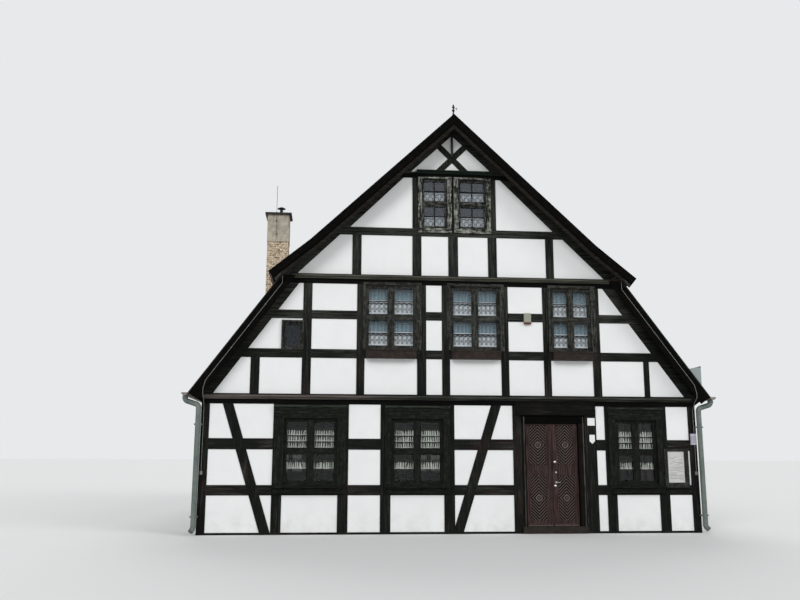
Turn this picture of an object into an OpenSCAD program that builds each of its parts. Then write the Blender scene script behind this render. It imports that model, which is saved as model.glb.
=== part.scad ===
// Half-timbered gable house with a broken roof, open inside from ground floor to ridge.
// Origin: centre of the footprint at ground level. -Y is the street front, +Z is up.

/* [Overall] */
// Distance between the outer faces of the two side walls
house_w = 11740; // [10600:10:12600]
// Distance between the outer faces of the two gable walls
house_d = 12600; // [9000:50:15000]
// Thickness of every framed wall
wall_t = 180; // [150:5:240]
// Distance of the plaster behind the outer timber faces
panel_recess = 12; // [4:1:30]
// Distance of the plaster behind the inner timber faces
panel_back = 28; // [5:1:60]

/* [Levels] */
// Height of the sill beam
sill_h = 50; // [30:5:120]
// Height of the lowest panels of the ground storey
ground_row_1 = 820; // [600:10:900]
// Height of the lower rail of the ground storey
ground_rail_1 = 230; // [150:5:280]
// Height of the middle panels of the ground storey
ground_row_2 = 800; // [600:10:900]
// Height of the upper rail of the ground storey
ground_rail_2 = 250; // [150:5:280]
// Height of the top panels of the ground storey
ground_row_3 = 790; // [700:10:900]
// Height of the beams under the upper storey
plate_h = 240; // [180:5:280]
// Height of the lowest panels of the upper storey
upper_row_1 = 845; // [700:5:950]
// Height of the lower rail of the upper storey
upper_rail_1 = 210; // [150:5:260]
// Height of the middle panels of the upper storey
upper_row_2 = 725; // [600:5:850]
// Height of the upper rail of the upper storey
upper_rail_2 = 205; // [150:5:260]
// Height of the top panels of the upper storey
upper_row_3 = 655; // [500:5:750]
// Height of the beams under the attic
attic_plate_h = 240; // [180:5:280]
// Height of the lower panels of the attic
attic_row = 985; // [850:5:1050]
// Height of the attic rail
attic_rail = 195; // [140:5:250]
// Height of the attic windows
attic_window_h = 1300; // [1100:10:1350]
// Height of the collar beam
collar_h = 160; // [120:5:200]
// Height from the collar beam to the outer roof surface at the ridge
apex_rise = 1370; // [1250:10:1500]

/* [Roof] */
// Distance of the tips of the lower eaves beyond the side walls
eave_out = 280; // [200:10:400]
// Distance from the centre to the outer surface of the lower roof at its head
knee_x = 4050; // [3900:10:4200]
// Distance of the tips of the upper eaves beyond the head of the lower roof
upper_eave_out = 370; // [300:10:450]
// Height of the upper roof above the head of the lower roof
foot_lift = 240; // [220:5:300]
// Horizontal length of the flatter foot of the upper roof
sprocket_l = 970; // [700:10:1200]
// Pitch of that foot in degrees
sprocket_pitch = 39.5; // [36:0.5:42]
// Depth of the roof's outer surface below the edges of the verge boards
cover_top = 45; // [30:1:60]
// Depth of the underside of the tiles, battens and boards, measured from the same edges
cover_t = 120; // [100:5:160]
// Depth of the rafters between the gables
rafter_d = 180; // [140:5:220]
// Width of those rafters
rafter_w = 130; // [90:5:180]
// Number of rafter pairs between the gables
rafter_count = 11; // [5:1:15]
// Depth of the lower roof at the gables, down to the plaster
lower_edge = 420; // [380:5:480]
// The same at foot and head of the two attic rows and at the apex
attic_edge = [322, 300, 325, 280, 290]; // [260:1:400]
// Overhang of the upper roof at the gables, with its board
upper_verge = 450; // [350:10:600]
// Overhang of the lower roof at the gables, with its board
lower_verge = 300; // [250:10:340]
// Width of the verge boards
verge_board_w = 285; // [240:5:360]
// Thickness of the verge boards
verge_board_t = 40; // [25:1:60]

/* [Windows] */
// Distance from the head of the ground-storey windows to the beam
head_drop = 310; // [250:10:450]
// Thickness of the boards round the windows
casing_t = 32; // [18:1:45]
// Width of the fixed frame members of the windows
sash_w = 50; // [40:1:60]
// Depth of the fixed frames
sash_t = 66; // [50:1:80]
// Distance of the fixed frames behind the wall face
sash_set = 14; // [5:1:40]
// Width of the members of the opening lights
light_w = 45; // [35:1:55]
// Depth of the opening lights
light_t = 38; // [28:1:46]
// Width of the post between two lights
mullion_w = 80; // [60:5:100]
// Height of the bar between upper and lower lights
transom_h = 60; // [50:5:90]
// Thickness of the glass
glass_t = 4; // [3:1:8]

/* [Door] */
// Width of the opening between the door jambs
door_w = 1280; // [1200:5:1340]
// Underside of the door head above the ground
door_head_z = 2540; // [2300:10:2600]
// Height of the threshold
threshold_h = 160; // [100:5:200]
// Thickness of each door leaf
leaf_t = 55; // [45:1:60]
// Distance of the leaves behind the wall face
leaf_set = 70; // [60:1:80]
// Gap round the leaves
leaf_gap = 5; // [4:1:7]
// Gap between the two leaves
meeting_gap = 14; // [12:1:18]
// Width of the hinge stiles of the leaves
hinge_stile = 115; // [90:5:130]
// Width of the meeting stiles of the leaves
lock_stile = 135; // [100:5:150]
// Depth of the sunk fields in the leaves
field_sink = 18; // [12:1:24]
// Height of the carved ribs above the sunk fields
rib_h = 14; // [6:1:18]
// Distance from one carved lozenge to the next
rib_pitch = 72; // [60:1:90]
// Width of each carved rib
rib_w = 40; // [24:1:50]

/* [Hidden] */

timber_colour = [0.13, 0.09, 0.07];
plaster_colour = [0.93, 0.93, 0.92];
tile_colour = [0.42, 0.2, 0.15];
trim_colour = [0.2, 0.17, 0.15];

half_w = house_w / 2;
front_y = -house_d / 2;
touch = 0.3;            // gap at sloping and round faces that only rest on each other
far = 20000;            // larger than the house, for cutting shapes

// Levels, each beam as [underside, height]
rail_1 = [sill_h + ground_row_1, ground_rail_1];
rail_2 = [top(rail_1) + ground_row_2, ground_rail_2];
plate_1 = [top(rail_2) + ground_row_3, plate_h];
z_1 = top(plate_1);
rail_3 = [z_1 + upper_row_1, upper_rail_1];
rail_4 = [top(rail_3) + upper_row_2, upper_rail_2];
plate_2 = [top(rail_4) + upper_row_3, attic_plate_h];
z_2 = top(plate_2);
rail_5 = [z_2 + attic_row, attic_rail];
collar = [top(rail_5) + attic_window_h, collar_h];
apex_z = top(collar) + apex_rise;

function top(v) = v[0] + v[1];

// Door bay, set out from the right corner: post, jamb, opening, jamb, post
jambs = [100, 150];
right_posts = [2750, 2250, 980];
door_bay = [half_w - right_posts[0] - jambs[1] - door_w - jambs[0], jambs[0] + door_w + jambs[1]];
door_x = door_bay[0] + jambs[0];
door_right = door_x + door_w;
door_mid = door_x + door_w / 2;

// Posts of the gable walls as [left side, width], set out from the nearer corner
corner_post = 190;
left_posts = [1650, 3150, 4130, 5620];
ground_posts = [
    [-half_w, corner_post],
    [left_posts[0] - half_w, 230], [left_posts[1] - half_w, 240],
    [left_posts[2] - half_w, 240], [left_posts[3] - half_w, 250],
    [door_bay[0] - 200, 200], [half_w - right_posts[0], 290],
    [half_w - right_posts[1], 240], [half_w - right_posts[2], 250],
    [half_w - corner_post, corner_post]];
upper_posts = [
    [-3600, 210], [-2320, 190], [-880, 220], [-280, 190], [1150, 190], [2190, 180], [3400, 200]];
short_posts = [[-4790, 210], [4650, 140]];
gable_posts = [[-990, 220], [-110, 240], [870, 220]];
attic_posts = concat([[-2450, 220], [2310, 200]], gable_posts);

// Window openings as [left side, width, bottom, top]
function bay_after(posts, i) = [top(posts[i]), posts[i + 1][0] - top(posts[i])];
ground_windows = [for (i = [1, 3, 7])
    concat(bay_after(ground_posts, i), [top(rail_1), plate_1[0] - head_drop])];
upper_windows = [for (i = [1, 3, 5]) concat(bay_after(upper_posts, i), [top(rail_3), plate_2[0]])];
attic_windows = [for (i = [0, 1]) concat(bay_after(gable_posts, i), [top(rail_5), collar[0]])];
small_size = [470, 655];
small_window = [upper_posts[0][0] - small_size[0], small_size[0], top(rail_3), top(rail_3) + small_size[1]];
large_windows = concat(ground_windows, upper_windows, attic_windows);
all_windows = concat(large_windows, [small_window]);

// Lower roof: from the eave tip to its head at the knee
eave_x = half_w + eave_out;
eave_z = z_1 - 10;
lower_pitch = atan2(z_2 - eave_z, eave_x - knee_x);
function lower_x(z, depth = 0) = eave_x - (z - eave_z + depth / cos(lower_pitch)) / tan(lower_pitch);
function lower_z(x, depth = 0) = eave_z + (eave_x - x) * tan(lower_pitch) - depth / cos(lower_pitch);
function eave_point(depth, out = 0) = [
    eave_x - depth * sin(lower_pitch) + out * cos(lower_pitch),
    eave_z - depth * cos(lower_pitch) - out * sin(lower_pitch)];

// Upper roof: a flatter foot, then straight to the ridge
tip_x = knee_x + upper_eave_out;
function foot_z(x, depth = 0) =
    z_2 + foot_lift - (x - knee_x) * tan(sprocket_pitch) - depth / cos(sprocket_pitch);
function foot_point(depth) = [tip_x - depth * sin(sprocket_pitch), foot_z(tip_x) - depth * cos(sprocket_pitch)];
bend = [tip_x - sprocket_l, foot_z(tip_x - sprocket_l)];
upper_pitch = atan2(apex_z - bend[1], bend[0]);
function main_z(x, depth = 0) = apex_z - x * tan(upper_pitch) - depth / cos(upper_pitch);
function main_x(z, depth = 0) = (apex_z - depth / cos(upper_pitch) - z) / tan(upper_pitch);
function bend_point(depth) = let (x = bend[0]
    - depth * (1 / cos(upper_pitch) - 1 / cos(sprocket_pitch)) / (tan(upper_pitch) - tan(sprocket_pitch)))
    [x, main_z(x, depth)];

// Stands a drawing of X and Z upright, from y to y + t
module upright(y, t) {
    translate([0, y + t, 0]) rotate([90, 0, 0]) linear_extrude(t) children();
}

// Draws a profile of Y and Z and runs it along X from x0 to x1
module run(x0, x1) {
    translate([x0, 0, 0]) rotate([90, 0, 90]) linear_extrude(x1 - x0) children();
}

module both_sides() {
    children();
    mirror([1, 0, 0]) children();
}

module front_and_back() {
    children();
    at_back() children();
}

module at_back() {
    rotate([0, 0, 180]) children();
}

module band(z, h, x0 = -far, x1 = far) {
    translate([x0, z]) square([x1 - x0, h]);
}

// Outlines of the storeys of a gable wall, inside its rafters

module ground_area() {
    band(0, plate_1[0], -half_w, half_w);
}

module upper_area() {
    d = lower_edge + touch;
    both_sides() polygon([[0, z_1], [lower_x(z_1, d), z_1], [lower_x(plate_2[0], d), plate_2[0]],
        [0, plate_2[0]]]);
}

// The hewn gable rafters differ in depth from row to row
module attic_area(gap) {
    levels = [z_2, rail_5[0], top(rail_5), collar[0], top(collar)];
    both_sides() polygon(concat([[0, z_2]],
        [for (i = [0 : 4]) [main_x(levels[i], attic_edge[i] + gap), levels[i]]],
        [[0, main_z(0, attic_edge[4] + gap)]]));
}

// Timbers of a gable wall

module posts_between(posts, z0, z1) {
    for (p = posts) translate([p[0], z0]) square([p[1], z1 - z0]);
}

module posts_2d() {
    posts_between(ground_posts, sill_h, plate_1[0]);
    intersection() {
        union() {
            posts_between(upper_posts, z_1, plate_2[0]);
            posts_between(short_posts, z_1, rail_3[0]);
        }
        upper_area();
    }
    intersection() {
        union() {
            posts_between(attic_posts, z_2, rail_5[0]);
            posts_between(gable_posts, top(rail_5), collar[0]);
        }
        attic_area(touch);
    }
}

module window_holes_2d(windows) {
    for (w = windows) translate([w[0], w[2]]) square([w[1], w[3] - w[2]]);
}

module door_bay_2d() {
    band(0, plate_1[0], door_bay[0], top(door_bay));
}

// Horizontal timbers. The windows and, in front, the door interrupt them.
module rails_2d(door) {
    difference() {
        intersection() {
            union() {
                for (r = [[0, sill_h], rail_1, rail_2]) band(r[0], r[1]);
                for (w = ground_windows) band(w[3], plate_1[0] - w[3], w[0], w[0] + w[1]);
            }
            ground_area();
        }
        posts_between(ground_posts, sill_h, plate_1[0]);
        ground_braces_2d();
        window_holes_2d(ground_windows);
        if (door) door_bay_2d();
    }
    band(plate_1[0], plate_1[1], -half_w, half_w);
    difference() {
        intersection() {
            union() for (r = [rail_3, rail_4]) band(r[0], r[1]);
            upper_area();
        }
        posts_between(upper_posts, z_1, plate_2[0]);
        window_holes_2d(upper_windows);
    }
    band(plate_2[0], plate_2[1], -purlin_x, purlin_x);
    intersection() {
        union() for (r = [rail_5, collar]) band(r[0], r[1]);
        attic_area(touch);
    }
}

// The braces lean against the posts of their bays
brace_w = 240;
brace_bays = [bay_after(ground_posts, 0), bay_after(ground_posts, 4)];

module leaning(head, foot, w) {
    polygon([head, head + [w, 0], foot + [w, 0], foot]);
}

module ground_braces_2d() {
    b = brace_bays;
    intersection() {
        union() {
            leaning([b[0][0] + 290, plate_1[0]], [top(b[0]) - 250, sill_h], brace_w);
            leaning([top(b[1]) - 510, plate_1[0]], [b[1][0] - 40, sill_h], brace_w);
        }
        for (v = b) band(sill_h, plate_1[0] - sill_h, v[0], top(v));
    }
}

cross_foot = 460;
cross_w = 210;

module cross_braces_2d() {
    rise = apex_rise - cross_foot;
    intersection() {
        for (s = [-1, 1]) scale([s, 1])
            leaning([rise, apex_z], [-cross_foot, top(collar)], cross_w);
        attic_area(touch);
        band(top(collar), far);
    }
}

module infill_2d(door) {
    difference() {
        union() {
            ground_area();
            upper_area();
            attic_area(touch);
        }
        posts_2d();
        rails_2d(door);
        ground_braces_2d();
        cross_braces_2d();
        window_holes_2d(all_windows);
        if (door) door_bay_2d();
    }
}

module gable_timber() {
    color(timber_colour) upright(front_y, wall_t) children();
}

module gable_braces() {
    gable_timber() {
        ground_braces_2d();
        cross_braces_2d();
    }
}

module gable_infill(door) {
    color(plaster_colour) upright(front_y + panel_recess, wall_t - panel_recess - panel_back)
        infill_2d(door);
}

module front_posts() gable_timber() posts_2d();
module front_rails() gable_timber() rails_2d(true);
module front_braces() gable_braces();
module front_infill() gable_infill(true);
module back_posts() at_back() gable_timber() posts_2d();
module back_rails() at_back() gable_timber() rails_2d(false);
module back_braces() at_back() gable_braces();
module back_infill() at_back() gable_infill(false);

// Side walls, drawn in Y and Z between the two gable walls
side_post_w = 180;
side_bays = 9;
side_from = front_y + wall_t;
side_run = house_d - 2 * wall_t;
side_pitch = (side_run - side_post_w) / side_bays;

module side_frame_2d() {
    for (i = [0 : side_bays])
        translate([side_from + i * side_pitch, sill_h]) square([side_post_w, plate_1[0] - sill_h]);
    for (r = [[0, sill_h], rail_1, rail_2, plate_1]) band(r[0], r[1], side_from, side_from + side_run);
    for (s = [0, 1]) mirror([s, 0])
        leaning([side_from + side_post_w, sill_h], [side_from + side_pitch, plate_1[0]], brace_w);
}

module side_infill_2d() {
    difference() {
        band(0, plate_1[0], side_from, side_from + side_run);
        side_frame_2d();
    }
}

module right_wall_frame() color(timber_colour) run(half_w - wall_t, half_w) side_frame_2d();
module right_wall_infill()
    color(plaster_colour) run(half_w - wall_t + panel_back, half_w - panel_recess) side_infill_2d();
module left_wall_frame() mirror([1, 0, 0]) right_wall_frame();
module left_wall_infill() mirror([1, 0, 0]) right_wall_infill();

// Floors

floor_h = 150;
deck_t = 40;
joist_w = 140;
inner_x = half_w - wall_t;
purlin_w = 240;
purlin_x = knee_x - 210;

module ground_floor() {
    color("gray") translate([-inner_x, side_from, 0]) cube([2 * inner_x, side_run, floor_h]);
}

module upper_floor() {
    x = lower_x(z_1 + deck_t, lower_edge) - touch;
    color("peru") translate([-x, side_from, z_1]) cube([2 * x, side_run, deck_t]);
}

module attic_floor() {
    x = purlin_x - purlin_w;
    color("peru") translate([-x, side_from, z_2 - deck_t]) cube([2 * x, side_run, deck_t]);
}

module joists(half, z, h) {
    for (i = [1 : rafter_count])
        translate([-half, rafter_y(i) - joist_w / 2, z]) cube([2 * half, joist_w, h]);
}

module floor_joists() {
    color(timber_colour) {
        joists(inner_x, plate_1[0], plate_1[1]);
        joists(purlin_x - purlin_w, plate_2[0], plate_2[1] - deck_t);
    }
}

module purlins() {
    color(timber_colour) both_sides() translate([purlin_x - purlin_w, side_from, plate_2[0]])
        cube([purlin_w, side_run, plate_2[1]]);
}

// Roof timbers

function rafter_y(i) = front_y + wall_t + i * (house_d - 2 * wall_t) / (rafter_count + 1);

module lower_rafter_2d(d) {
    t = cover_t + touch;
    difference() {
        polygon([[lower_x(z_2, t), z_2], [lower_x(z_2, d), z_2], eave_point(d), eave_point(t)]);
        band(0, z_1, -far, half_w);
        band(plate_2[0], plate_2[1], -far, purlin_x);
    }
}

module upper_underside_2d() {
    t = cover_t + touch;
    end_x = foot_point(t)[0] - 20;
    intersection() {
        polygon([[0, 0], [end_x, 0], [end_x, foot_z(end_x, t)], bend_point(t), [0, main_z(0, t)]]);
        band(z_2 + touch, far, touch / 2, far);
    }
}

module upper_rafter_2d() {
    d = cover_t + rafter_d;
    difference() {
        upper_underside_2d();
        polygon([[0, 0], [main_x(0, d), 0], [0, main_z(0, d)]]);
    }
}

module gable_rafters() {
    color(timber_colour) for (y = [front_y, -front_y - wall_t]) {
        both_sides() upright(y, wall_t) lower_rafter_2d(lower_edge);
        upright(y, wall_t) difference() {
            both_sides() upper_underside_2d();
            attic_area(0);
        }
    }
}

module rafter_set() {
    for (i = [1 : rafter_count]) upright(rafter_y(i) - rafter_w / 2, rafter_w) children();
}

module lower_rafters() color(timber_colour) both_sides() rafter_set() lower_rafter_2d(cover_t + rafter_d);
module upper_rafters() color(timber_colour) rafter_set() both_sides() upper_rafter_2d();

// Roof covering

upper_run = house_d + 2 * (upper_verge - verge_board_t);
lower_run = house_d + 2 * (lower_verge - verge_board_t);

// Layers of the two slopes, from depth a to depth b
module upper_skin_2d(a, b, x = 0) {
    polygon([[x, main_z(x, a)], bend_point(a), foot_point(a), foot_point(b), bend_point(b), [x, main_z(x, b)]]);
}

module lower_skin_2d(a, b, head_z) {
    polygon([[lower_x(head_z, a), head_z], eave_point(a), eave_point(b), [lower_x(head_z, b), head_z]]);
}

module roof_upper_right()
    color(tile_colour) upright(-upper_run / 2, upper_run) upper_skin_2d(cover_top, cover_t);
module roof_upper_left() mirror([1, 0, 0]) roof_upper_right();
module roof_lower_right()
    color(tile_colour) upright(-lower_run / 2, lower_run) lower_skin_2d(cover_top, cover_t, z_2);
module roof_lower_left() mirror([1, 0, 0]) roof_lower_right();

cap_w = 150;
cap_t = 60;
cap_foot = main_z(0, cover_top) + touch;

module ridge_cap_2d() {
    side = [cap_w, main_z(cap_w, cover_top) + touch];
    polygon([[0, cap_foot], side, side + [-30, cap_t], [0, cap_foot + cap_t],
        [30 - cap_w, side[1] + cap_t], [-cap_w, side[1]]]);
}

module ridge_cap() color(tile_colour) upright(-upper_run / 2, upper_run) ridge_cap_2d();

module verge_boards() {
    color(timber_colour) front_and_back() {
        upright(front_y - upper_verge, verge_board_t) both_sides() upper_skin_2d(0, verge_board_w, touch / 2);
        upright(front_y - lower_verge, verge_board_t) both_sides()
            lower_skin_2d(0, verge_board_w, z_2 - verge_board_w * 0.4);
    }
}

// Turned spike on the ridge with a short curled arm, and the thin post before the crossed braces
spike_h = 295;
spike_r = 32;
arm_r = 5;
curl_r = 22;

module finial() {
    base = cap_foot + cap_t;
    y = front_y - upper_verge + 120;
    arm_z = base + 195;
    color("dimgray") {
        difference() {
            translate([0, y, base - spike_r]) rotate_extrude($fn = 32) polygon([[0, 0], [spike_r, 0],
                [spike_r, 50], [18, 85], [17, 140], [34, 152], [38, 168], [32, 184], [17, 196], [17, 222],
                [30, 240], [34, 258], [28, 276], [17, 288], [20, 306], [12, 322], [0, spike_h + spike_r]]);
            upright(y - 100, 200) ridge_cap_2d();
        }
        translate([0, y, arm_z]) rotate([0, 90, 0]) cylinder(h = 70, r = arm_r, $fn = 24);
        translate([70, y, arm_z - curl_r]) rotate([90, 0, 0]) rotate([0, 0, -100])
            rotate_extrude(angle = 190, $fn = 48) translate([curl_r, 0]) circle(r = arm_r, $fn = 24);
        translate([78, y, arm_z + 4]) sphere(r = 13, $fn = 24);
        translate([-25, front_y - 50, top(collar) + 400]) cube([50, 50, apex_rise - 830]);
    }
}

// Moulded ledges that throw the rain off the floor beams
ledge_h = 100;
ledge_out = 120;
ledge_z = z_1 - 130;

module ledge(z, h, x0, x1) {
    run(x0, x1) translate([front_y, z])
        polygon([[0, 0], [-35, 0], [-45, h * 0.25], [-75, h * 0.4], [-ledge_out, h * 0.45],
            [-ledge_out, h * 0.65], [0, h]]);
}

module weather_ledges() {
    w = attic_windows;
    attic_half = lower_x(z_2, cover_t) - 20;
    color("rosybrown") front_and_back() {
        ledge(ledge_z, ledge_h, 20 - half_w, half_w - 120);
        ledge(z_2 - ledge_h - 20, ledge_h, -attic_half, attic_half);
        ledge(top(collar) - 45, ledge_h, w[0][0] - 110, w[1][0] + w[1][1] + 150);
    }
}

// Windows: fixed frame, opening lights and one pane in each light

attic_frame_w = 30;

// The openings that a window's frame leaves for its lights, as [x, z, width, height]
function lights(w, frame, columns, rows) = let (
    lw = (w[1] - 2 * frame - (columns - 1) * mullion_w) / columns,
    lh = (w[3] - w[2] - 2 * frame - (rows - 1) * transom_h) / rows)
    [for (i = [0 : columns - 1]) for (j = [0 : rows - 1])
        [w[0] + frame + i * (lw + mullion_w), w[2] + frame + j * (lh + transom_h), lw, lh]];

all_lights = concat(
    [for (w = concat(ground_windows, upper_windows)) each lights(w, sash_w, 2, 2)],
    [for (w = attic_windows) each lights(w, attic_frame_w, 1, 2)],
    lights(small_window, attic_frame_w, 1, 1));

module light_2d(l, inset) {
    translate([l[0] + inset, l[1] + inset]) square([l[2] - 2 * inset, l[3] - 2 * inset]);
}

light_y = front_y + sash_set + 12;

module window_sashes() {
    color(trim_colour) front_and_back() {
        upright(front_y + sash_set, sash_t) difference() {
            window_holes_2d(all_windows);
            for (l = all_lights) light_2d(l, 0);
        }
        upright(light_y, light_t) for (l = all_lights) difference() {
            light_2d(l, 0);
            light_2d(l, light_w);
        }
        upright(light_y - 6, 6) for (l = all_lights) difference() {
            light_2d(l, 0);
            light_2d(l, light_w * 0.5);
        }
    }
}

module window_glass() {
    color("lightblue", 0.4) front_and_back() upright(light_y + light_t + touch, glass_t)
        for (l = all_lights) light_2d(l, 2);
}

// A board frame round a window, with its margins to the left and right
lap = 14;

module casing_2d(w, sides, head, foot) {
    difference() {
        translate([w[0] - sides[0], w[2] - foot])
            square([w[1] + sides[0] + sides[1], w[3] - w[2] + head + foot]);
        translate([w[0] + lap, w[2] + lap]) square([w[1] - 2 * lap, w[3] - w[2] - 2 * lap]);
    }
}

ground_margins = [[200, 190], [130, 140], [160, 135]];
upper_margins = [[50, 110], [60, 90], [40, 110]];
attic_margins = [[80, 112], [113, 90]];
apron_h = 200;
head_top = plate_1[0] - 10;
head_h = head_drop - 40;
inner_board = 62;

// Stepped head and cornice over a ground-storey window
module head_mould_2d() {
    translate([front_y - casing_t, head_top - head_h]) polygon([[0, 0], [-14, 0], [-14, 55], [-24, 60],
        [-24, 120], [-34, 125], [-34, head_h - 75], [-55, head_h - 60], [-80, head_h - 50],
        [-80, head_h - 28], [-70, head_h - 22], [0, head_h]]);
}

module sill_mould_2d(z) {
    translate([front_y - casing_t, z]) polygon([[0, 0], [-16, 0], [-22, 18], [-50, 26], [-62, 30],
        [-62, 55], [0, 68]]);
}

module window_casings() {
    color(trim_colour) front_and_back() {
        for (i = [0 : 2]) {
            w = ground_windows[i];
            m = ground_margins[i];
            x = [w[0] - m[0], w[0] + w[1] + m[1]];
            upright(front_y - casing_t, casing_t) {
                casing_2d(w, m, head_top - w[3], apron_h);
                casing_2d(upper_windows[i], upper_margins[i], 50, 0);
            }
            upright(front_y - casing_t - 12, 12)
                casing_2d(w, [inner_board, inner_board], 40, 20);
            upright(front_y - casing_t - 10, 10)
                casing_2d(upper_windows[i], [30, 30], 22, 0);
            run(x[0], x[1]) head_mould_2d();
            run(x[0], x[1]) sill_mould_2d(w[2] - 88);
            run(x[0] + 40, x[1] - 40) sill_mould_2d(w[2] - apron_h);
        }
        upright(front_y - casing_t, casing_t) {
            for (i = [0, 1]) casing_2d(attic_windows[i], attic_margins[i], 30, 100);
            casing_2d(small_window, [25, 25], 25, 25);
        }
    }
}

// Lace on thin rods behind the glass, as plain sheets. Each is [window, foot, head]
// with foot and head measured up from the bottom of the window.
curtain_t = 4;
rod_r = 5;
rod_y = front_y + sash_set + sash_t + 25;
window_curtains = concat(
    [for (w = ground_windows) each [[w, 840, 1270], [w, 360, 550]]],
    [for (w = upper_windows) each [[w, 880, 1500], [w, 120, 730]]],
    [for (w = attic_windows) each [[w, 700, 960], [w, 70, 330]]]);

module curtain_rods() {
    color("silver") front_and_back() for (c = window_curtains)
        translate([c[0][0], rod_y, c[0][2] + c[2] + rod_r]) rotate([0, 90, 0])
            cylinder(h = c[0][1], r = rod_r, $fn = 24);
}

module curtains() {
    color("white") front_and_back() upright(rod_y - curtain_t / 2, curtain_t)
        for (c = window_curtains) translate([c[0][0] + 20, c[0][2] + c[1]])
            square([c[0][1] - 40, c[2] - c[1] - touch]);
}

// Planting boxes under the windows of the upper storey, with a rim
box_size = [190, 200];
box_wall = 15;
box_rim = 14;

module window_boxes() {
    d = box_size[0];
    h = box_size[1];
    color("saddlebrown") for (w = upper_windows) {
        x = [w[0] + 30, w[0] + w[1] - 30];
        translate([0, front_y, w[2] - h - 10]) difference() {
            union() {
                run(x[0], x[1]) polygon([[0, 0], [25 - d, 0], [box_rim - d, h], [0, h]]);
                run(x[0] - box_rim, x[1] + box_rim) polygon([[0, h - 25], [-d, h - 25], [-d, h], [0, h]]);
            }
            run(x[0] + box_wall, x[1] - box_wall) polygon([[-box_wall, box_wall],
                [25 + box_wall - d, box_wall], [box_rim + box_wall - d, h + 1], [-box_wall, h + 1]]);
        }
    }
}

// Double door. Both leaves swing inwards on lift-off hinges behind their inner faces.

stop_w = 18;
stop_t = 20;
leaf_back = front_y + leaf_set + leaf_t;
leaf_w = (door_w - 2 * leaf_gap - meeting_gap) / 2;
leaf_z = threshold_h + leaf_gap;
leaf_h = door_head_z - leaf_gap - leaf_z;
hinge_r = 11;
hinge_plate = [45, 4, 50];
hinge_levels = [leaf_z + 255, leaf_z + leaf_h / 2, leaf_z + leaf_h - 255];

// Half a hinge on a face at Y = 0, with its pin's line at X = 0 and its plate towards +X
module hinge_half(reach) {
    translate([0, hinge_r + 1, 0]) cylinder(h = hinge_plate[2], r = hinge_r, $fn = 32);
    cube([reach + hinge_plate[0], hinge_plate[1], hinge_plate[2]]);
}

module door_frame() {
    bead = [26, 12];
    opening_h = door_head_z - threshold_h;
    color([0.2, 0.11, 0.08]) {
        upright(front_y, leaf_set + leaf_t) difference() {
            band(threshold_h, plate_1[0] - threshold_h, door_bay[0], top(door_bay));
            band(threshold_h, opening_h, door_x, door_right);
        }
        upright(front_y + leaf_set - leaf_gap - stop_t, stop_t) difference() {
            band(threshold_h, opening_h, door_x, door_right);
            band(threshold_h, opening_h - stop_w, door_x + stop_w, door_right - stop_w);
        }
        upright(front_y - bead[1], bead[1]) {
            band(threshold_h, opening_h + 90, door_x - 60, door_x - 60 + bead[0]);
            band(threshold_h, opening_h + 90, door_right + 34, door_right + 34 + bead[0]);
            band(threshold_h, opening_h + 90, door_right + 110, top(door_bay));
            band(door_head_z + 64, bead[0], door_x - 60, door_right + 60);
        }
        upright(front_y - 30, 30) band(rail_2[0] + 80, 45, door_right + 20, top(door_bay));
        for (z = hinge_levels) {
            translate([door_x, leaf_back, z]) mirror([1, 0, 0]) hinge_half(0);
            translate([door_right, leaf_back, z]) hinge_half(0);
        }
    }
}

module threshold() {
    color("gray") run(door_bay[0], top(door_bay)) translate([front_y, 0])
        polygon([[-60, 0], [wall_t, 0], [wall_t, floor_h], [leaf_set, threshold_h],
            [-45, threshold_h - 4], [-60, threshold_h - 20]]);
}

// The sunk fields of a leaf, as [foot above the leaf's foot, height]
fields = [[125, 1020], [leaf_h - 975, 930]];
field_w = leaf_w - hinge_stile - lock_stile;
rosette_r = 100;

module lozenge(r) {
    polygon([[r, 0], [0, r], [-r, 0], [0, -r]]);
}

// The upper right quarter of a field: bevelled ribs across its diagonal, from the sunk ground
// at Y = field_sink outwards
module rib_quarter(size) {
    ground = field_sink;
    face = field_sink - rib_h;
    crest = rib_w * 0.35;
    intersection() {
        translate([0, face, 0]) cube([size[0] / 2, rib_h, size[1] / 2]);
        for (r = [rosette_r + rib_pitch : rib_pitch : (size[0] + size[1]) / 2])
            translate([0, 0, r - rib_w / 2]) rotate([0, 45, 0]) run(-rib_w, size[0])
                polygon([[ground, -rib_w / 2], [face, -crest / 2], [face, crest / 2], [ground, rib_w / 2]]);
    }
}

// A field's carving, centred: ribs in lozenges round a turned rosette
module carving(size) {
    for (x = [0, 1]) for (z = [0, 1]) mirror([x, 0, 0]) mirror([0, 0, z]) rib_quarter(size);
    upright(field_sink - rib_h, rib_h) difference() {
        lozenge(rosette_r);
        lozenge(rosette_r - 26);
    }
    translate([0, field_sink, 0]) rotate([90, 0, 0]) rotate_extrude($fn = 32)
        polygon([[0, 0], [46, 0], [44, 7], [30, 10], [26, 16], [14, 21], [0, 22]]);
}

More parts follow.
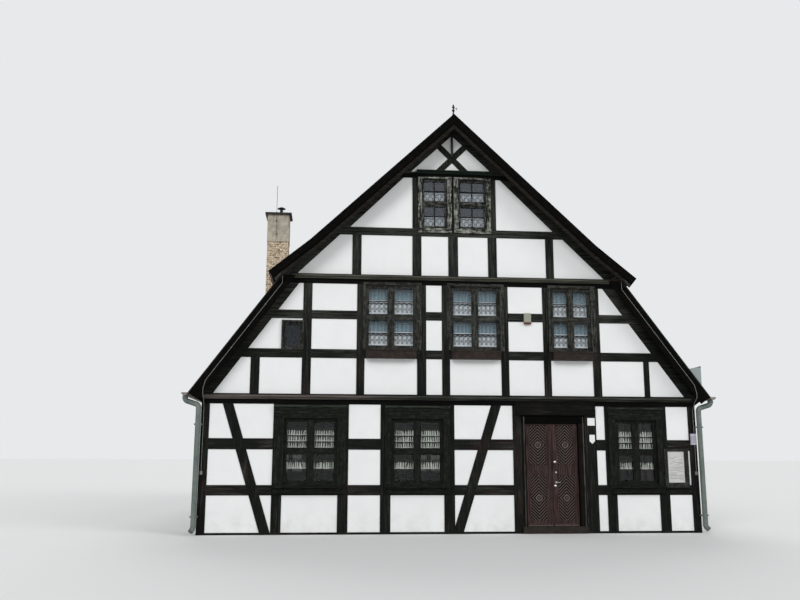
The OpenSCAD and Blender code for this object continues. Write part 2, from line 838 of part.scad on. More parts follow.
// A leaf drawn with its hinge side at X = 0 and its outer face at Y = 0
module door_leaf() {
    x = hinge_stile;
    difference() {
        upright(0, leaf_t) band(leaf_z, leaf_h, 0, leaf_w);
        for (f = fields) upright(-1, field_sink + 1) band(leaf_z + f[0], f[1], x, x + field_w);
    }
    for (f = fields) translate([0, 0, leaf_z + f[0]]) {
        translate([x + field_w / 2, 0, f[1] / 2]) carving([field_w, f[1]]);
        upright(-4, 4) difference() {
            band(-16, f[1] + 32, x - 16, x + field_w + 16);
            band(0, f[1], x, x + field_w);
        }
    }
    run(stop_w + 2 * leaf_gap, leaf_w - stop_w) translate([0, leaf_z])
        polygon([[0, 0], [-20, 0], [-20, 12], [-12, 50], [0, 66]]);
    translate([x + field_w / 2, 0, leaf_z + leaf_h / 2 + 10]) rotate([90, 0, 0]) rotate_extrude($fn = 32)
        polygon([[0, 0], [22, 0], [18, 8], [8, 13], [0, 14]]);
    for (z = hinge_levels) translate([-leaf_gap, leaf_t, z + hinge_plate[2] + 1]) hinge_half(leaf_gap);
}

cover_strip = [80, 13];

module door_leaf_left() {
    x = leaf_w - cover_strip[0];
    color([0.27, 0.14, 0.1]) translate([door_x + leaf_gap, front_y + leaf_set, 0]) {
        door_leaf();
        upright(-cover_strip[1], cover_strip[1]) band(leaf_z, leaf_h - stop_w, x, leaf_w);
        upright(-cover_strip[1] - 5, 5) band(leaf_z, leaf_h - stop_w, x + 25, x + 55);
    }
}

module door_leaf_right() {
    color([0.27, 0.14, 0.1]) translate([door_right - leaf_gap, front_y + leaf_set, 0])
        mirror([1, 0, 0]) door_leaf();
}

knob_levels = [1630, 1080];
lock_z = 1390;
lever_z = 1160;
lock_out = 90;

module door_furniture() {
    y = front_y + leaf_set;
    color("silver") {
        for (z = knob_levels) translate([door_mid + 60, y, z]) rotate([90, 0, 0])
            rotate_extrude($fn = 32) polygon([[0, 0], [26, 0], [26, 4], [11, 7], [11, 20], [24, 28],
                [28, 38], [24, 48], [12, 54], [0, 55]]);
        translate([door_mid + lock_out, y, lock_z]) rotate([90, 0, 0]) cylinder(h = 8, r = 20, $fn = 32);
        translate([door_mid + lock_out, y, lever_z]) rotate([90, 0, 0]) {
            cylinder(h = 6, r = 22, $fn = 32);
            cylinder(h = 50, r = 8, $fn = 32);
            translate([0, 0, 42]) rotate([0, 90, 0]) cylinder(h = 90, r = 8, $fn = 32);
        }
    }
}

// Bare board over the door, under the ledge
sign_overlap = [140, 270];
sign_h = 330;

module sign_board() {
    x = [door_bay[0] - sign_overlap[0], top(door_bay) + sign_overlap[1]];
    color(timber_colour) {
        upright(front_y - 40, 40) band(ledge_z - sign_h, sign_h, x[0], x[1]);
        upright(front_y - 52, 12) difference() {
            band(ledge_z - sign_h, sign_h, x[0], x[1]);
            band(ledge_z - sign_h + 28, sign_h - 56, x[0] + 28, x[1] - 28);
        }
    }
}

// A notice case, a lamp, a small cabinet, and a sheet-metal box that sits on the right slope

notice_size = [587, 905];
notice_set = 842;
notice_rims = [80, 90, 55, 105];    // left, right, top, foot

module notice_board() {
    x = half_w - notice_set;
    z = top(rail_1) - 60;
    color(trim_colour) difference() {
        upright(front_y - 60, 60) band(z, notice_size[1], x, x + notice_size[0]);
        upright(front_y - 61, 31) band(z + notice_rims[3], notice_size[1] - notice_rims[2] - notice_rims[3],
            x + notice_rims[0], x + notice_size[0] - notice_rims[1]);
    }
}

lamp_w = 170;
lamp_h = 270;
lamp_set = 380;
cabinet_size = [130, 260];
cabinet_lift = 140;
hood_lift = 277;
hood_size = [75, 260, 380, 460];    // width at the foot, depth, height at the slope and outside

module wall_fittings() {
    lamp_x = top(upper_posts[4]) + lamp_set;
    cabinet_x = half_w - 30 - cabinet_size[0];
    hood_z = eave_z + hood_lift;
    hood_x = lower_x(hood_z, cover_top) + touch;
    hood_head = hood_z + hood_size[2];
    color("white") {
        run(lamp_x, lamp_x + lamp_w) translate([front_y, rail_4[0] - 60])
            polygon([[0, 0], [-50, 0], [-60, 60], [-60, lamp_h - 30], [-40, lamp_h], [0, lamp_h]]);
        upright(front_y - 60, 60)
            band(rail_2[0] + cabinet_lift, cabinet_size[1], cabinet_x, cabinet_x + cabinet_size[0]);
        upright(front_y - hood_size[1], hood_size[1]) polygon([[hood_x, hood_z],
            [hood_x + hood_size[0], hood_z], [hood_x + hood_size[0] + 4, hood_z + hood_size[3]],
            [lower_x(hood_head, cover_top) + touch, hood_head]]);
    }
}

// Rainwater goods

gutter_r = 68;
gutter_t = 4;
pipe_r = 60;
pipe_lap = 10;
pipe_x = half_w + 50;
pipe_y = front_y - pipe_r - 30;
gutter_c = [eave_x + gutter_r + 15, eave_z];
outlet_r = pipe_r - 4;
outlet_h = 90;
socket_foot = 40;
socket_h = socket_foot + outlet_h - gutter_r - 6;
clamp_levels = [390, plate_1[0] - 500];

module gutters() {
    color("gray") both_sides() {
        difference() {
            union() {
                upright(-lower_run / 2, lower_run) translate(gutter_c) circle(r = gutter_r, $fn = 48);
                translate([gutter_c[0], pipe_y, gutter_c[1] - outlet_h]) cylinder(h = outlet_h, r = outlet_r, $fn = 48);
            }
            upright(gutter_t - lower_run / 2, lower_run - 2 * gutter_t) translate(gutter_c)
                circle(r = gutter_r - gutter_t, $fn = 48);
            upright(-far / 2, far) translate([gutter_c[0] - far / 2, gutter_c[1]]) square([far, far]);
            translate([gutter_c[0], pipe_y, 0]) cylinder(h = far, r = outlet_r - gutter_t, $fn = 48);
        }
        for (i = [0 : rafter_count + 1]) translate([0, rafter_y(i) - 15, 0]) upright(0, 30)
            polygon([eave_point(70, touch), eave_point(100, touch), gutter_c + [2 - gutter_r, -20],
                gutter_c + [2 - gutter_r, -4]]);
    }
}

// A length of round pipe between two points, run on a little into the bends at both ends
module pipe(from, to) {
    d = to - from;
    translate(from) rotate([0, acos(d[2] / norm(d)), atan2(d[1], d[0])]) translate([0, 0, -pipe_lap])
        cylinder(h = norm(d) + 2 * pipe_lap, r = pipe_r, $fn = 48);
}

// A slightly wider bend about the Y axis, from one angle to another
module elbow(centre, from, to) {
    translate(centre) rotate([90, 0, 0]) rotate([0, 0, from]) rotate_extrude(angle = to - from, $fn = 48)
        translate([bend_r, 0]) circle(r = pipe_r + 2, $fn = 48);
}

bend_r = 90;
neck_turn = 72;
shoe_turn = 50;
shoe_z = 200;

// From the outlet back to the corner, straight down, and out by the shoe at the foot
module drain() {
    neck_z = gutter_c[1] - outlet_h - touch - pipe_lap - 5;
    side = bend_r * (1 - cos(neck_turn));
    drop = bend_r * sin(neck_turn);
    slope = (gutter_c[0] - pipe_x - 2 * side) / tan(neck_turn);
    low_z = neck_z - 2 * drop - slope;
    pipe([gutter_c[0], pipe_y, neck_z], [gutter_c[0], pipe_y, neck_z + 5]);
    elbow([gutter_c[0] - bend_r, pipe_y, neck_z], -neck_turn, 0);
    pipe([gutter_c[0] - side, pipe_y, neck_z - drop], [pipe_x + side, pipe_y, low_z + drop]);
    elbow([pipe_x + bend_r, pipe_y, low_z], 180 - neck_turn, 180);
    pipe([pipe_x, pipe_y, low_z], [pipe_x, pipe_y, shoe_z]);
    translate([pipe_x, pipe_y, shoe_z]) rotate([0, 0, -60]) {
        elbow([bend_r, 0, 0], 180, 180 + shoe_turn);
        out = bend_r * (1 - cos(shoe_turn));
        fall = -bend_r * sin(shoe_turn);
        pipe([out, 0, fall], [out + 50 * sin(shoe_turn), 0, fall - 50 * cos(shoe_turn)]);
    }
}

// A clamp round the pipe with a bolt at each side, and its arm to the corner post
module pipe_clamp() {
    h = 35;
    ear = pipe_r + 28;
    translate([pipe_x, pipe_y, 0]) cylinder(h = h, r = pipe_r + 5, $fn = 48);
    translate([pipe_x - ear, pipe_y - 3, 0]) cube([2 * ear, 6, h]);
    translate([pipe_x - ear, pipe_y, 0]) cube([16, front_y - pipe_y, h]);
    for (s = [-1, 1]) translate([pipe_x + s * (pipe_r + 16), pipe_y + 10, h / 2]) rotate([90, 0, 0])
        cylinder(h = 26, r = 10, $fn = 24);
}

module downpipes() {
    color("gray") both_sides() {
        drain();
        translate([gutter_c[0], pipe_y, gutter_c[1] - outlet_h - socket_foot]) difference() {
            cylinder(h = socket_h, r = pipe_r + 5, $fn = 48);
            translate([0, 0, socket_foot - touch]) cylinder(h = socket_h, r = outlet_r + touch, $fn = 48);
        }
        for (z = clamp_levels) translate([0, 0, z]) pipe_clamp();
    }
}

// Chimney on the left slope. Its foot is cut to the roof.
stack_w = 710;
stack_x = -tip_x - 20 - stack_w;
stack_y = 1700;
stack_z = 9865;
render_h = 945;
render_t = 12;
lid = [90, 60];
rod_h = 1900;

module chimney() {
    right = stack_x + stack_w;
    color("tan") {
        upright(stack_y, stack_w) polygon([[stack_x, lower_z(-stack_x, cover_top) + touch],
            [right, lower_z(-right, cover_top) + touch], [right, stack_z], [stack_x, stack_z]]);
        translate([stack_x - render_t, stack_y - render_t, stack_z - render_h])
            cube([stack_w + 2 * render_t, stack_w + 2 * render_t, render_h]);
    }
}

// Slab with its cowl, and a rod before the stack
module chimney_cap() {
    rod = [stack_x + stack_w * 0.42, stack_y - lid[0] - 8];
    color("dimgray") {
        translate([stack_x - lid[0], stack_y - lid[0], stack_z])
            cube([stack_w + 2 * lid[0], stack_w + 2 * lid[0], lid[1]]);
        translate([stack_x + stack_w * 0.6, stack_y + stack_w / 2, stack_z + lid[1]]) rotate_extrude($fn = 32)
            polygon([[0, 0], [60, 0], [48, 235], [138, 245], [138, 260], [70, 298], [0, 310]]);
        translate([rod[0], rod[1], stack_z + lid[1] + 935 - rod_h]) cylinder(h = rod_h, r = 7, $fn = 24);
        for (z = [stack_z - 700, stack_z - 250])
            translate([rod[0] - 12, rod[1] - 12, z]) cube([24, stack_y - render_t - rod[1] + 12, 30]);
    }
}

front_posts();
front_rails();
front_braces();
front_infill();
back_posts();
back_rails();
back_braces();
back_infill();
left_wall_frame();
left_wall_infill();
right_wall_frame();
right_wall_infill();
ground_floor();
upper_floor();
attic_floor();
floor_joists();
purlins();
gable_rafters();
lower_rafters();
upper_rafters();
roof_upper_left();
roof_upper_right();
roof_lower_left();
roof_lower_right();
ridge_cap();
verge_boards();
finial();
weather_ledges();
window_casings();
window_sashes();
window_glass();
curtain_rods();
curtains();
window_boxes();
door_frame();
threshold();
door_leaf_left();
door_leaf_right();
door_furniture();
sign_board();
notice_board();
wall_fittings();
gutters();
downpipes();
chimney();
chimney_cap();
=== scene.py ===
import math
import random
from functools import partialmethod

import bmesh
import bpy
from bpy.props import FloatProperty, FloatVectorProperty
from mathutils import Matrix, Vector


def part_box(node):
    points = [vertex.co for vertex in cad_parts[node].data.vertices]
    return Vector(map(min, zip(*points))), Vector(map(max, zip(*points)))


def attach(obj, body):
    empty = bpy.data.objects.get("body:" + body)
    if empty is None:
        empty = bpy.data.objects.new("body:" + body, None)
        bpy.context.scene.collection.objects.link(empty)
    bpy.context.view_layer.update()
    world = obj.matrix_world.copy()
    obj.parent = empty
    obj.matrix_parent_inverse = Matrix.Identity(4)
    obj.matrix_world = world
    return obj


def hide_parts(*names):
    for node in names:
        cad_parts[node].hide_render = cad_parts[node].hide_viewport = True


bl_info = {
    "name": "Half Timbered House",
    "version": (1, 0, 0),
    "blender": (4, 5, 0),
    "location": "View3D > Sidebar > House",
    "description": "Dresses the framed house with tiles, glazing bars, lace, carving and painted finishes",
    "category": "Object",
}

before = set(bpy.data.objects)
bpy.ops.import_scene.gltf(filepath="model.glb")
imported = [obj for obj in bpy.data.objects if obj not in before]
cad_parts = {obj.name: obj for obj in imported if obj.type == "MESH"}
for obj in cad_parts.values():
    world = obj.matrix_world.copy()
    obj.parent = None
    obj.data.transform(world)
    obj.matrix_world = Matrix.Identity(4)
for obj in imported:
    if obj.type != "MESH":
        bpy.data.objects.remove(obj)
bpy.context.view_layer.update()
FLOOR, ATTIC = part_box("upper_floor")[0].z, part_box("attic_floor")[1].z
ROOFS = "roof_upper_left roof_upper_right roof_lower_left roof_lower_right"
# Height of the chimney's rendered head
RENDERED_HEAD = 0.945
# How far the weather bars of the door stand out, and how high its carved flowers sit
WEATHER_BAR = 0.02
ROSETTES = (0.8, 2.025)
# Height of the band of painted shade under a drip board
DRIP_BAND = 0.11
# Height ranges of the members that lie flat in the window casings and in the sashes
CASING_RAILS = ((0.9, 1.114), (2.616, 2.93), (5.806, 5.87), (7.14, 7.254), (8.526, 8.57))
SASH_RAILS = (
    (1.1, 1.15), (1.79, 1.94), (2.58, 2.63), (4.235, 4.285), (4.975, 5.08), (5.77, 5.82),
    (7.24, 7.29), (7.838, 7.943), (8.49, 8.54),
)
# X of the plates near the ground, and how far the door's plates stand from its frame
SMALL_PLATES = (-4.09, 3.729)
PLATE_OFFSET = 0.172
# Turns a round piece from Z to Y, so that it faces the street
FACE_ON = Matrix.Rotation(math.pi / 2, 4, "X")


# Sizes and colours that a user would change


def colour_field(name, description, default):
    return FloatVectorProperty(name=name, description=description, subtype="COLOR", default=default)


def length_field(name, description, default, least=-100.0, most=100.0):
    return FloatProperty(
        name=name, description=description, unit="LENGTH", default=default, min=least, max=most)


class FINISH_PG_colours(bpy.types.PropertyGroup):
    timber: colour_field("Timber", "Black paint of the frame", (0.0065, 0.0074, 0.0062))
    timber_worn: colour_field("Worn timber", "Frame where the paint is thin", (0.04, 0.042, 0.036))
    timber_brown: colour_field(
        "Brown timber", "Frame where the wood shows through the paint", (0.0165, 0.0102, 0.0092))
    plaster: colour_field("Plaster", "Limewash of the panels", (0.81, 0.815, 0.815))
    trim: colour_field("Window paint", "Paint of the ground storey windows", (0.0045, 0.0052, 0.0042))
    trim_weathered: colour_field(
        "Weathered wood", "Bleached wood of the windows under the roof", (0.105, 0.108, 0.094))
    door: colour_field("Door", "Paint of the door leaves", (0.047, 0.0275, 0.025))
    tile: colour_field("Tile", "Fired clay of the roof tiles", (0.24, 0.075, 0.042))


class ROOF_PG_sizes(bpy.types.PropertyGroup):
    tile_width: length_field("Tile width", "Width of one plain tile", 0.18, 0.12, 0.25)
    tile_gauge: length_field("Gauge", "Distance between two courses", 0.16, 0.1, 0.3)
    tile_thickness: length_field("Tile thickness", "Thickness of one tile", 0.014, 0.008, 0.03)
    ridge_radius: length_field("Ridge radius", "Radius of the ridge tiles", 0.11, 0.08, 0.12)
    ridge_gauge: length_field("Ridge gauge", "Length that shows of a ridge tile", 0.36, 0.2, 0.5)


class WINDOW_PG_sizes(bpy.types.PropertyGroup):
    bar_width: length_field("Bar width", "Width of a glazing bar", 0.024, 0.012, 0.04)
    bar_depth: length_field("Bar depth", "Depth of a glazing bar", 0.022, 0.01, 0.035)
    pleat: length_field("Pleat", "Width of one pleat of the lace", 0.05, 0.02, 0.12)
    pleat_depth: length_field("Pleat depth", "Depth of one pleat of the lace", 0.012, 0.0, 0.02)


class PLATE_PG_sizes(bpy.types.PropertyGroup):
    thickness: length_field("Thickness", "Thickness of a plate", 0.004, 0.001, 0.01)
    number_side: length_field("Number plate", "Side of the square plate", 0.178, 0.1, 0.3)
    number_height: length_field("Number height", "Middle of the square plate", 2.572)
    shield_width: length_field("Shield", "Width of the pointed plate", 0.13, 0.1, 0.3)
    shield_height: length_field("Shield height", "Lowest point of the pointed plate", 2.055)
    small_width: length_field("Small plate", "Width of the plates near the ground", 0.17)
    small_height: length_field("Small plate height", "Foot of the plates near the ground", 0.735)


class CONDUCTOR_PG_sizes(bpy.types.PropertyGroup):
    wire_radius: length_field("Radius", "Radius of the wire", 0.006, 0.003, 0.01)
    stand_off: length_field("Stand-off", "Distance of the wire from the post", 0.014)
    inset: length_field("Inset", "Distance of the wire from the roof's outer surface", 0.105)
    post_inset: length_field("Post inset", "Distance of the wire from the corner", 0.06)
    clamp_height: length_field("Clamp", "Height of the clamp on the post", 1.377)


class STAGE_PG_view(bpy.types.PropertyGroup):
    focal: FloatProperty(name="Focal length", description="Lens in millimetres", default=37.06)
    pitch: FloatProperty(
        name="Pitch", description="Upward tilt of the camera", subtype="ANGLE", default=math.radians(10.75))
    yaw: FloatProperty(
        name="Yaw", description="Turn of the camera to the right", subtype="ANGLE",
        default=math.radians(4.8))
    roll: FloatProperty(
        name="Roll", description="Turn of the camera about its axis", subtype="ANGLE",
        default=math.radians(0.16))
    place: FloatVectorProperty(
        name="Place", description="Where the camera stands", subtype="TRANSLATION",
        default=(-2.92, -25.7, 1.75))


# Materials


class Wire:
    """A value or colour on its way through a material's nodes, which takes part in arithmetic."""

    def __init__(self, paint, socket):
        self.paint, self.socket = paint, socket

    def maths(self, operation, *others, swap=False):
        values = (*others, self) if swap else (self, *others)
        return self.paint.add("ShaderNodeMath", {"operation": operation}, dict(enumerate(values)))

    __add__ = __radd__ = partialmethod(maths, "ADD")
    __mul__ = __rmul__ = partialmethod(maths, "MULTIPLY")
    __sub__ = partialmethod(maths, "SUBTRACT")
    __rsub__ = partialmethod(maths, "SUBTRACT", swap=True)
    __truediv__ = partialmethod(maths, "DIVIDE")
    __rtruediv__ = partialmethod(maths, "DIVIDE", swap=True)
    __pow__ = partialmethod(maths, "POWER")
    __mod__ = partialmethod(maths, "FLOORED_MODULO")
    __lt__ = partialmethod(maths, "LESS_THAN")
    __gt__ = partialmethod(maths, "GREATER_THAN")
    __abs__ = partialmethod(maths, "ABSOLUTE")
    wave = partialmethod(maths, "SINE")
    least = partialmethod(maths, "MINIMUM")
    most = partialmethod(maths, "MAXIMUM")
    whole = partialmethod(maths, "FLOOR")

    def between(self, low, high):
        """0 below low and 1 above high, smooth in between."""
        sockets = {"Value": self, "From Min": low, "From Max": high}
        return self.paint.add("ShaderNodeMapRange", {"interpolation_type": "SMOOTHSTEP"}, sockets)


class Paint:
    """A material in the making. The keywords are its surface shader's own sockets."""

    def __init__(self, name, specular=0.5, **fixed):
        self.material = bpy.data.materials.new(name)
        self.material.use_nodes = True
        self.tree = self.material.node_tree
        self.surface = self.tree.nodes["Principled BSDF"]
        self.surface.inputs["Specular IOR Level"].default_value = specular
        for socket, value in fixed.items():
            self.surface.inputs[socket.replace("_", " ")].default_value = value
        self.place = self.add("ShaderNodeTexCoord", out="Object")
        self.x, self.y, self.z = (self.part(self.place, axis) for axis in range(3))

    def add(self, kind, choices=None, sockets=None, out=0):
        """Adds one node: its choices are set first, then its sockets get their values or links."""
        node = self.tree.nodes.new(kind)
        for name, value in (choices or {}).items():
            setattr(node, name, value)
        for key, value in (sockets or {}).items():
            self.put(node.inputs[key], value)
        return Wire(self, node.outputs[out])

    def put(self, socket, value):
        if isinstance(value, Wire):
            self.tree.links.new(value.socket, socket)
        elif socket.type == "RGBA":
            socket.default_value = (*value[:3], 1.0)
        else:
            socket.default_value = value

    def part(self, vector, axis):
        """One number of a vector, or one channel of a colour."""
        return self.add("ShaderNodeSeparateXYZ", {}, {0: vector}, out=axis)

    def texture(self, kind, choices, scale, sockets, out, turn=(0, 0, 0)):
        """A texture with its own scale along X, Y and Z, in waves or cells a metre."""
        if not isinstance(scale, tuple):
            scale = (scale,) * 3
        place = self.add("ShaderNodeMapping", {}, {"Vector": self.place, "Scale": scale, "Rotation": turn})
        return self.add("ShaderNodeTex" + kind, choices, {"Vector": place, "Scale": 1, **sockets}, out)

    def noise(self, scale, detail=3, rough=0.5, warp=0, turn=(0, 0, 0)):
        sockets = {"Detail": detail, "Roughness": rough, "Distortion": warp}
        return self.texture("Noise", {}, scale, sockets, "Fac", turn)

    def cells(self, scale, feature="F1", out="Distance", spread=1):
        return self.texture("Voronoi", {"feature": feature}, scale, {"Randomness": spread}, out)

    def blend(self, share, first, second):
        return self.add("ShaderNodeMix", {"data_type": "RGBA"}, {0: share, 6: first, 7: second}, out=2)

    def ramp(self, value, *stops):
        result = self.add("ShaderNodeValToRGB", {}, {0: value})
        elements = result.socket.node.color_ramp.elements
        while len(elements) < len(stops):
            elements.new(0.5)
        for element, (position, rgb) in zip(elements, stops):
            element.position = position
            element.color = (*rgb, 1.0)
        return result

    def feed(self, name, value):
        self.put(self.surface.inputs[name], value)

    def done(self, tone, rough=None, height=None, depth=0.0):
        """Feeds the surface. The depth of its relief is in metres for a height of 1."""
        self.feed("Base Color", tone)
        if rough is not None:
            self.feed("Roughness", rough)
        if height is not None:
            self.feed("Normal", self.add("ShaderNodeBump", {}, {"Height": height, "Distance": depth}))
        return self.material


def colour(name):
    return tuple(getattr(bpy.context.scene.finish_colours, name))


def scaled(rgb, factor):
    return tuple(channel * factor for channel in rgb)


def along(axis, length, across):
    """A noise scale that is low along the grain."""
    return tuple(length if a == axis else across for a in "xyz")


def timber(name, axis, base, worn, brown, drips=()):
    """Painted oak with checks, worn thin in streaks, with a band of painted shade just under the drip
    boards.
    """
    p = Paint(name, 0.08)
    streaks = p.noise(along(axis, 1.1, 27), 6, 0.65, 0.4)
    fibres = p.noise(along(axis, 3, 130), 3, 0.6)
    patches = p.noise(0.9, 4, 0.6)
    checks = p.noise(along(axis, 0.55, 22), 4, 0.7, 1.2)
    crack = 1 - abs(checks - 0.5).between(0, 0.022)
    wear = (streaks * 0.7 + fibres * 0.25 + patches * 0.2 + p.z.between(3, 6) * 0.09).between(0.56, 0.76)
    tone = p.blend(patches.between(0.5, 0.66) * 0.8, base, brown)
    tone = p.blend(wear, tone, worn)
    tone = p.blend(crack * 0.8, tone, scaled(base, 0.25))
    for foot in drips:
        # A band of painted shade just under each drip board
        shade_under_drip = p.z.between(foot - DRIP_BAND - 0.03, foot - DRIP_BAND) * (p.z < foot + 0.001)
        tone = p.blend(shade_under_drip * 0.92, tone, scaled(base, 0.12))
    height = streaks * 0.35 + fibres * 0.25 - crack * 0.9
    return p.done(tone, 0.78 + wear * 0.15 - fibres * 0.08, height, 0.004)


def verge_paint(black, worn, brown):
    """Tarred verge boards. On the upper slopes the lower board is older and shows its wood."""
    p = Paint("verge_paint", 0.03)
    edge = {(round(abs(v.co.x), 3), round(v.co.z, 3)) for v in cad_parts["verge_boards"].data.vertices}
    # Head, kink and tip of the upper board's outer edge, the last two on either side of the eave
    head = max(edge, key=lambda c: c[1])
    kink = max((c for c in edge if 2.5 < c[0] < 3.7 and c[1] > 6.4), key=lambda c: c[0] + c[1])
    tip = max((c for c in edge if 3.7 < c[0] and c[1] < 6.3), key=lambda c: c[1] + 0.5 * c[0])
    across = abs(p.x)

    def under(upper, lower):
        """How far a point lies under the line through two corners."""
        fall = (upper[1] - lower[1]) / (lower[0] - upper[0])
        return lambda corner: (corner[1] - p.z - (across - corner[0]) * fall) * (1 / math.hypot(1.0, fall))

    depth = under(head, kink)(head).most(under(kink, tip)(kink))
    upper = (across < tip[0] + 0.01) * (p.z > tip[1] - 0.25) * (depth < 0.3)
    grain = p.noise(9, 6, 0.7)
    fibres = p.noise((3, 60, 60), 4, 0.65, turn=(0, 0.74, 0))
    tar = p.blend(grain.between(0.45, 0.68) * 0.7, scaled(black, 0.35), scaled(brown, 0.55))
    old = p.blend(fibres.between(0.42, 0.64), scaled(brown, 0.5), scaled(worn, 0.62))
    # A near-black band of painted shade along the foot of the upper board, just above the lower one; the
    # same mask sinks a groove into the relief
    step = upper * depth.between(0.168, 0.174) * (1 - depth.between(0.2, 0.206))
    tone = p.blend(upper * depth.between(0.196, 0.204), tar, old)
    tone = p.blend(step, tone, (0.0006, 0.0006, 0.0006))
    start, foot = (tip[0] - 0.287, tip[1] - 0.049), max(edge)
    rim = under(start, foot)(foot)
    tone = p.blend((rim < 0.02) * (rim > -0.02) * (p.z < start[1]) * 0.8, tone, (0.045, 0.048, 0.044))
    return p.done(tone, 0.8 + grain * 0.15, grain * 0.3 + fibres * 0.3 - step, 0.005)


def limewash():
    """Plaster brushed with many coats of limewash, with faint stains."""
    p = Paint("limewash", 0.2, Roughness=0.88)
    base = colour("plaster")
    waves = p.noise(2.2, 4, 0.55)
    grain = p.noise(70, 3, 0.65)
    brush = p.noise((9, 9, 30))
    drips = p.noise((7, 7, 0.7), 4, 0.6)
    stain = (drips * 0.6 + waves * 0.4).between(0.56, 0.8)
    splash = (1 - p.z.between(0.05, 0.75)) * p.noise(3.5, 5, 0.6).between(0.35, 0.8)
    cracks = 1 - p.cells((3.1, 3.1, 4.3), "DISTANCE_TO_EDGE").between(0, 0.006)
    hairline = cracks * waves.between(0.5, 0.62)
    tone = p.blend(waves.between(0.3, 0.7), scaled(base, 0.97), base)
    tone = p.blend(stain * 0.2, tone, (0.6, 0.59, 0.56))
    tone = p.blend(splash * 0.35, tone, (0.47, 0.44, 0.4))
    tone = p.blend(hairline * 0.22, tone, (0.4, 0.39, 0.37))
    return p.done(tone, None, waves * 0.5 + grain * 0.12 + brush * 0.2 - hairline * 0.1, 0.005)


def fired_clay():
    """Plain tiles, each fired a little differently, with soot and lichen."""
    p = Paint("tile_clay", 0.3)
    base = colour("tile")
    tone = p.add("ShaderNodeAttribute", {"attribute_name": "tone"}, out="Fac")
    pale = (base[0] * 1.25, base[1] * 1.5, base[2] * 1.6)
    dark, burnt = scaled(base, 0.45), (0.11, 0.055, 0.045)
    body = p.ramp(tone, (0, dark), (0.3, scaled(base, 0.8)), (0.6, base), (0.85, pale), (1, burnt))
    soot = p.noise(1.3, 5, 0.6).between(0.42, 0.72)
    lichen = (1 - p.cells(26).between(0.05, 0.2)) * p.noise(2.6).between(0.5, 0.66)
    clay = p.blend(soot * 0.5, body, (0.06, 0.042, 0.036))
    clay = p.blend(lichen * 0.7, clay, (0.3, 0.29, 0.2))
    grain = p.noise(180, 2)
    return p.done(clay, 0.72 + grain * 0.2, grain * 0.5 + p.noise(24), 0.0025)


def window_paint(name, base, worn, axis="z"):
    """Old oil paint on joinery, cracked and rubbed thin along the grain."""
    p = Paint(name, 0.12)
    grain = p.noise(along(axis, 4, 90), 4, 0.6)
    flakes = p.noise(9, 6, 0.65)
    wear = (grain * 0.45 + flakes * 0.6).between(0.46, 0.72)
    return p.done(p.blend(wear, base, worn), 0.5 + wear * 0.35, grain * 0.4 + flakes * 0.3, 0.002)


def window_wood(name, bare_share, rails):
    """Joinery that is black near the ground and bleached bare under the roof."""
    p = Paint(name, 0.1)
    base, bare = colour("trim"), colour("trim_weathered")
    flat = p.z < 0.0
    for low, high in rails:
        flat = flat.most((p.z > low) * (p.z < high))

    def fibres(length, across, rough, warp):
        """Noise that follows each member, upright or flat."""
        upright = p.noise(along("z", length, across), 5, rough, warp) * (1 - flat)
        return upright + p.noise(along("x", length, across), 5, rough, warp) * flat

    grain, streaks = fibres(5, 55, 0.62, 0.5), fibres(2.2, 24, 0.65, 0.8)
    flakes = p.noise(11, 6, 0.65)
    wear = grain * 0.35 + flakes * 0.3 + streaks * 0.35
    ground = p.blend(wear.between(0.44, 0.62), scaled(base, 0.7), scaled(base, 4))
    upper = p.blend(wear.between(0.43, 0.6), scaled(bare, 0.07), scaled(bare, 0.62))
    upper = p.blend(p.noise(2.5).between(0.56, 0.66) * 0.2, upper, (0.03, 0.021, 0.017))
    pale = scaled(bare, 3.2 * bare_share)
    attic = p.blend(wear.between(0.45, 0.6), scaled(bare, 0.06 * bare_share), pale)
    # A dark stripe down the middle of the attic casing's mid board: painted shade in the gap between its
    # two boards
    gap_shade = 1 - abs(p.x - 0.01).between(0.024, 0.032)
    attic = p.blend(gap_shade, attic, scaled(bare, 0.05))
    top = max(high.z for low, high in solids_of("window_casings") if high.z < FLOOR)
    crown = (p.z > top - 0.07) * (p.z < top - 0.02) * streaks.between(0.35, 0.6)
    ground = p.blend(crown * 0.8, ground, scaled(base, 11))
    tone = p.blend(p.z > ATTIC, p.blend(p.z > FLOOR, ground, upper), attic)
    return p.done(tone, 0.6 + wear * 0.3, grain * 0.5 + flakes * 0.3, 0.003)


def door_frame_paint():
    """Near-black paint: painted highlights on the beads beside the opening, painted shade above the leaves.
    """
    p = Paint("door_frame_paint", 0.04)
    low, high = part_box("door_frame")
    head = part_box("door_leaf_left")[1].z
    grain = p.noise(along("z", 3, 80), 5, 0.62)
    blotch = p.noise(4, 4)
    beads = (abs(p.x - (low.x + 0.07)) < 0.011).most(abs(p.x - (high.x - 0.035)) < 0.011)
    # Painted highlights along the beads, broken by blotches
    bead_highlight = beads * (p.y < low.y + 0.04) * (0.4 + blotch.between(0.35, 0.6) * 0.6)
    # Painted shade above the leaves and on the parts set back more than 35 mm from the front
    painted_frame_shade = (p.z > head - 0.01).most(p.y > low.y + 0.035)
    tone = p.blend(grain.between(0.4, 0.66), (0.004, 0.0038, 0.0034), (0.012, 0.0105, 0.0095))
    tone = p.blend(blotch.between(0.5, 0.7) * 0.5, tone, (0.013, 0.009, 0.008))
    tone = p.blend(painted_frame_shade * 0.93, tone, (0.0006, 0.0006, 0.0005))
    tone = p.blend(bead_highlight * (p.z < head + 0.15), tone, (0.085, 0.077, 0.068))
    return p.done(tone, 0.55 + grain * 0.25, grain, 0.002)


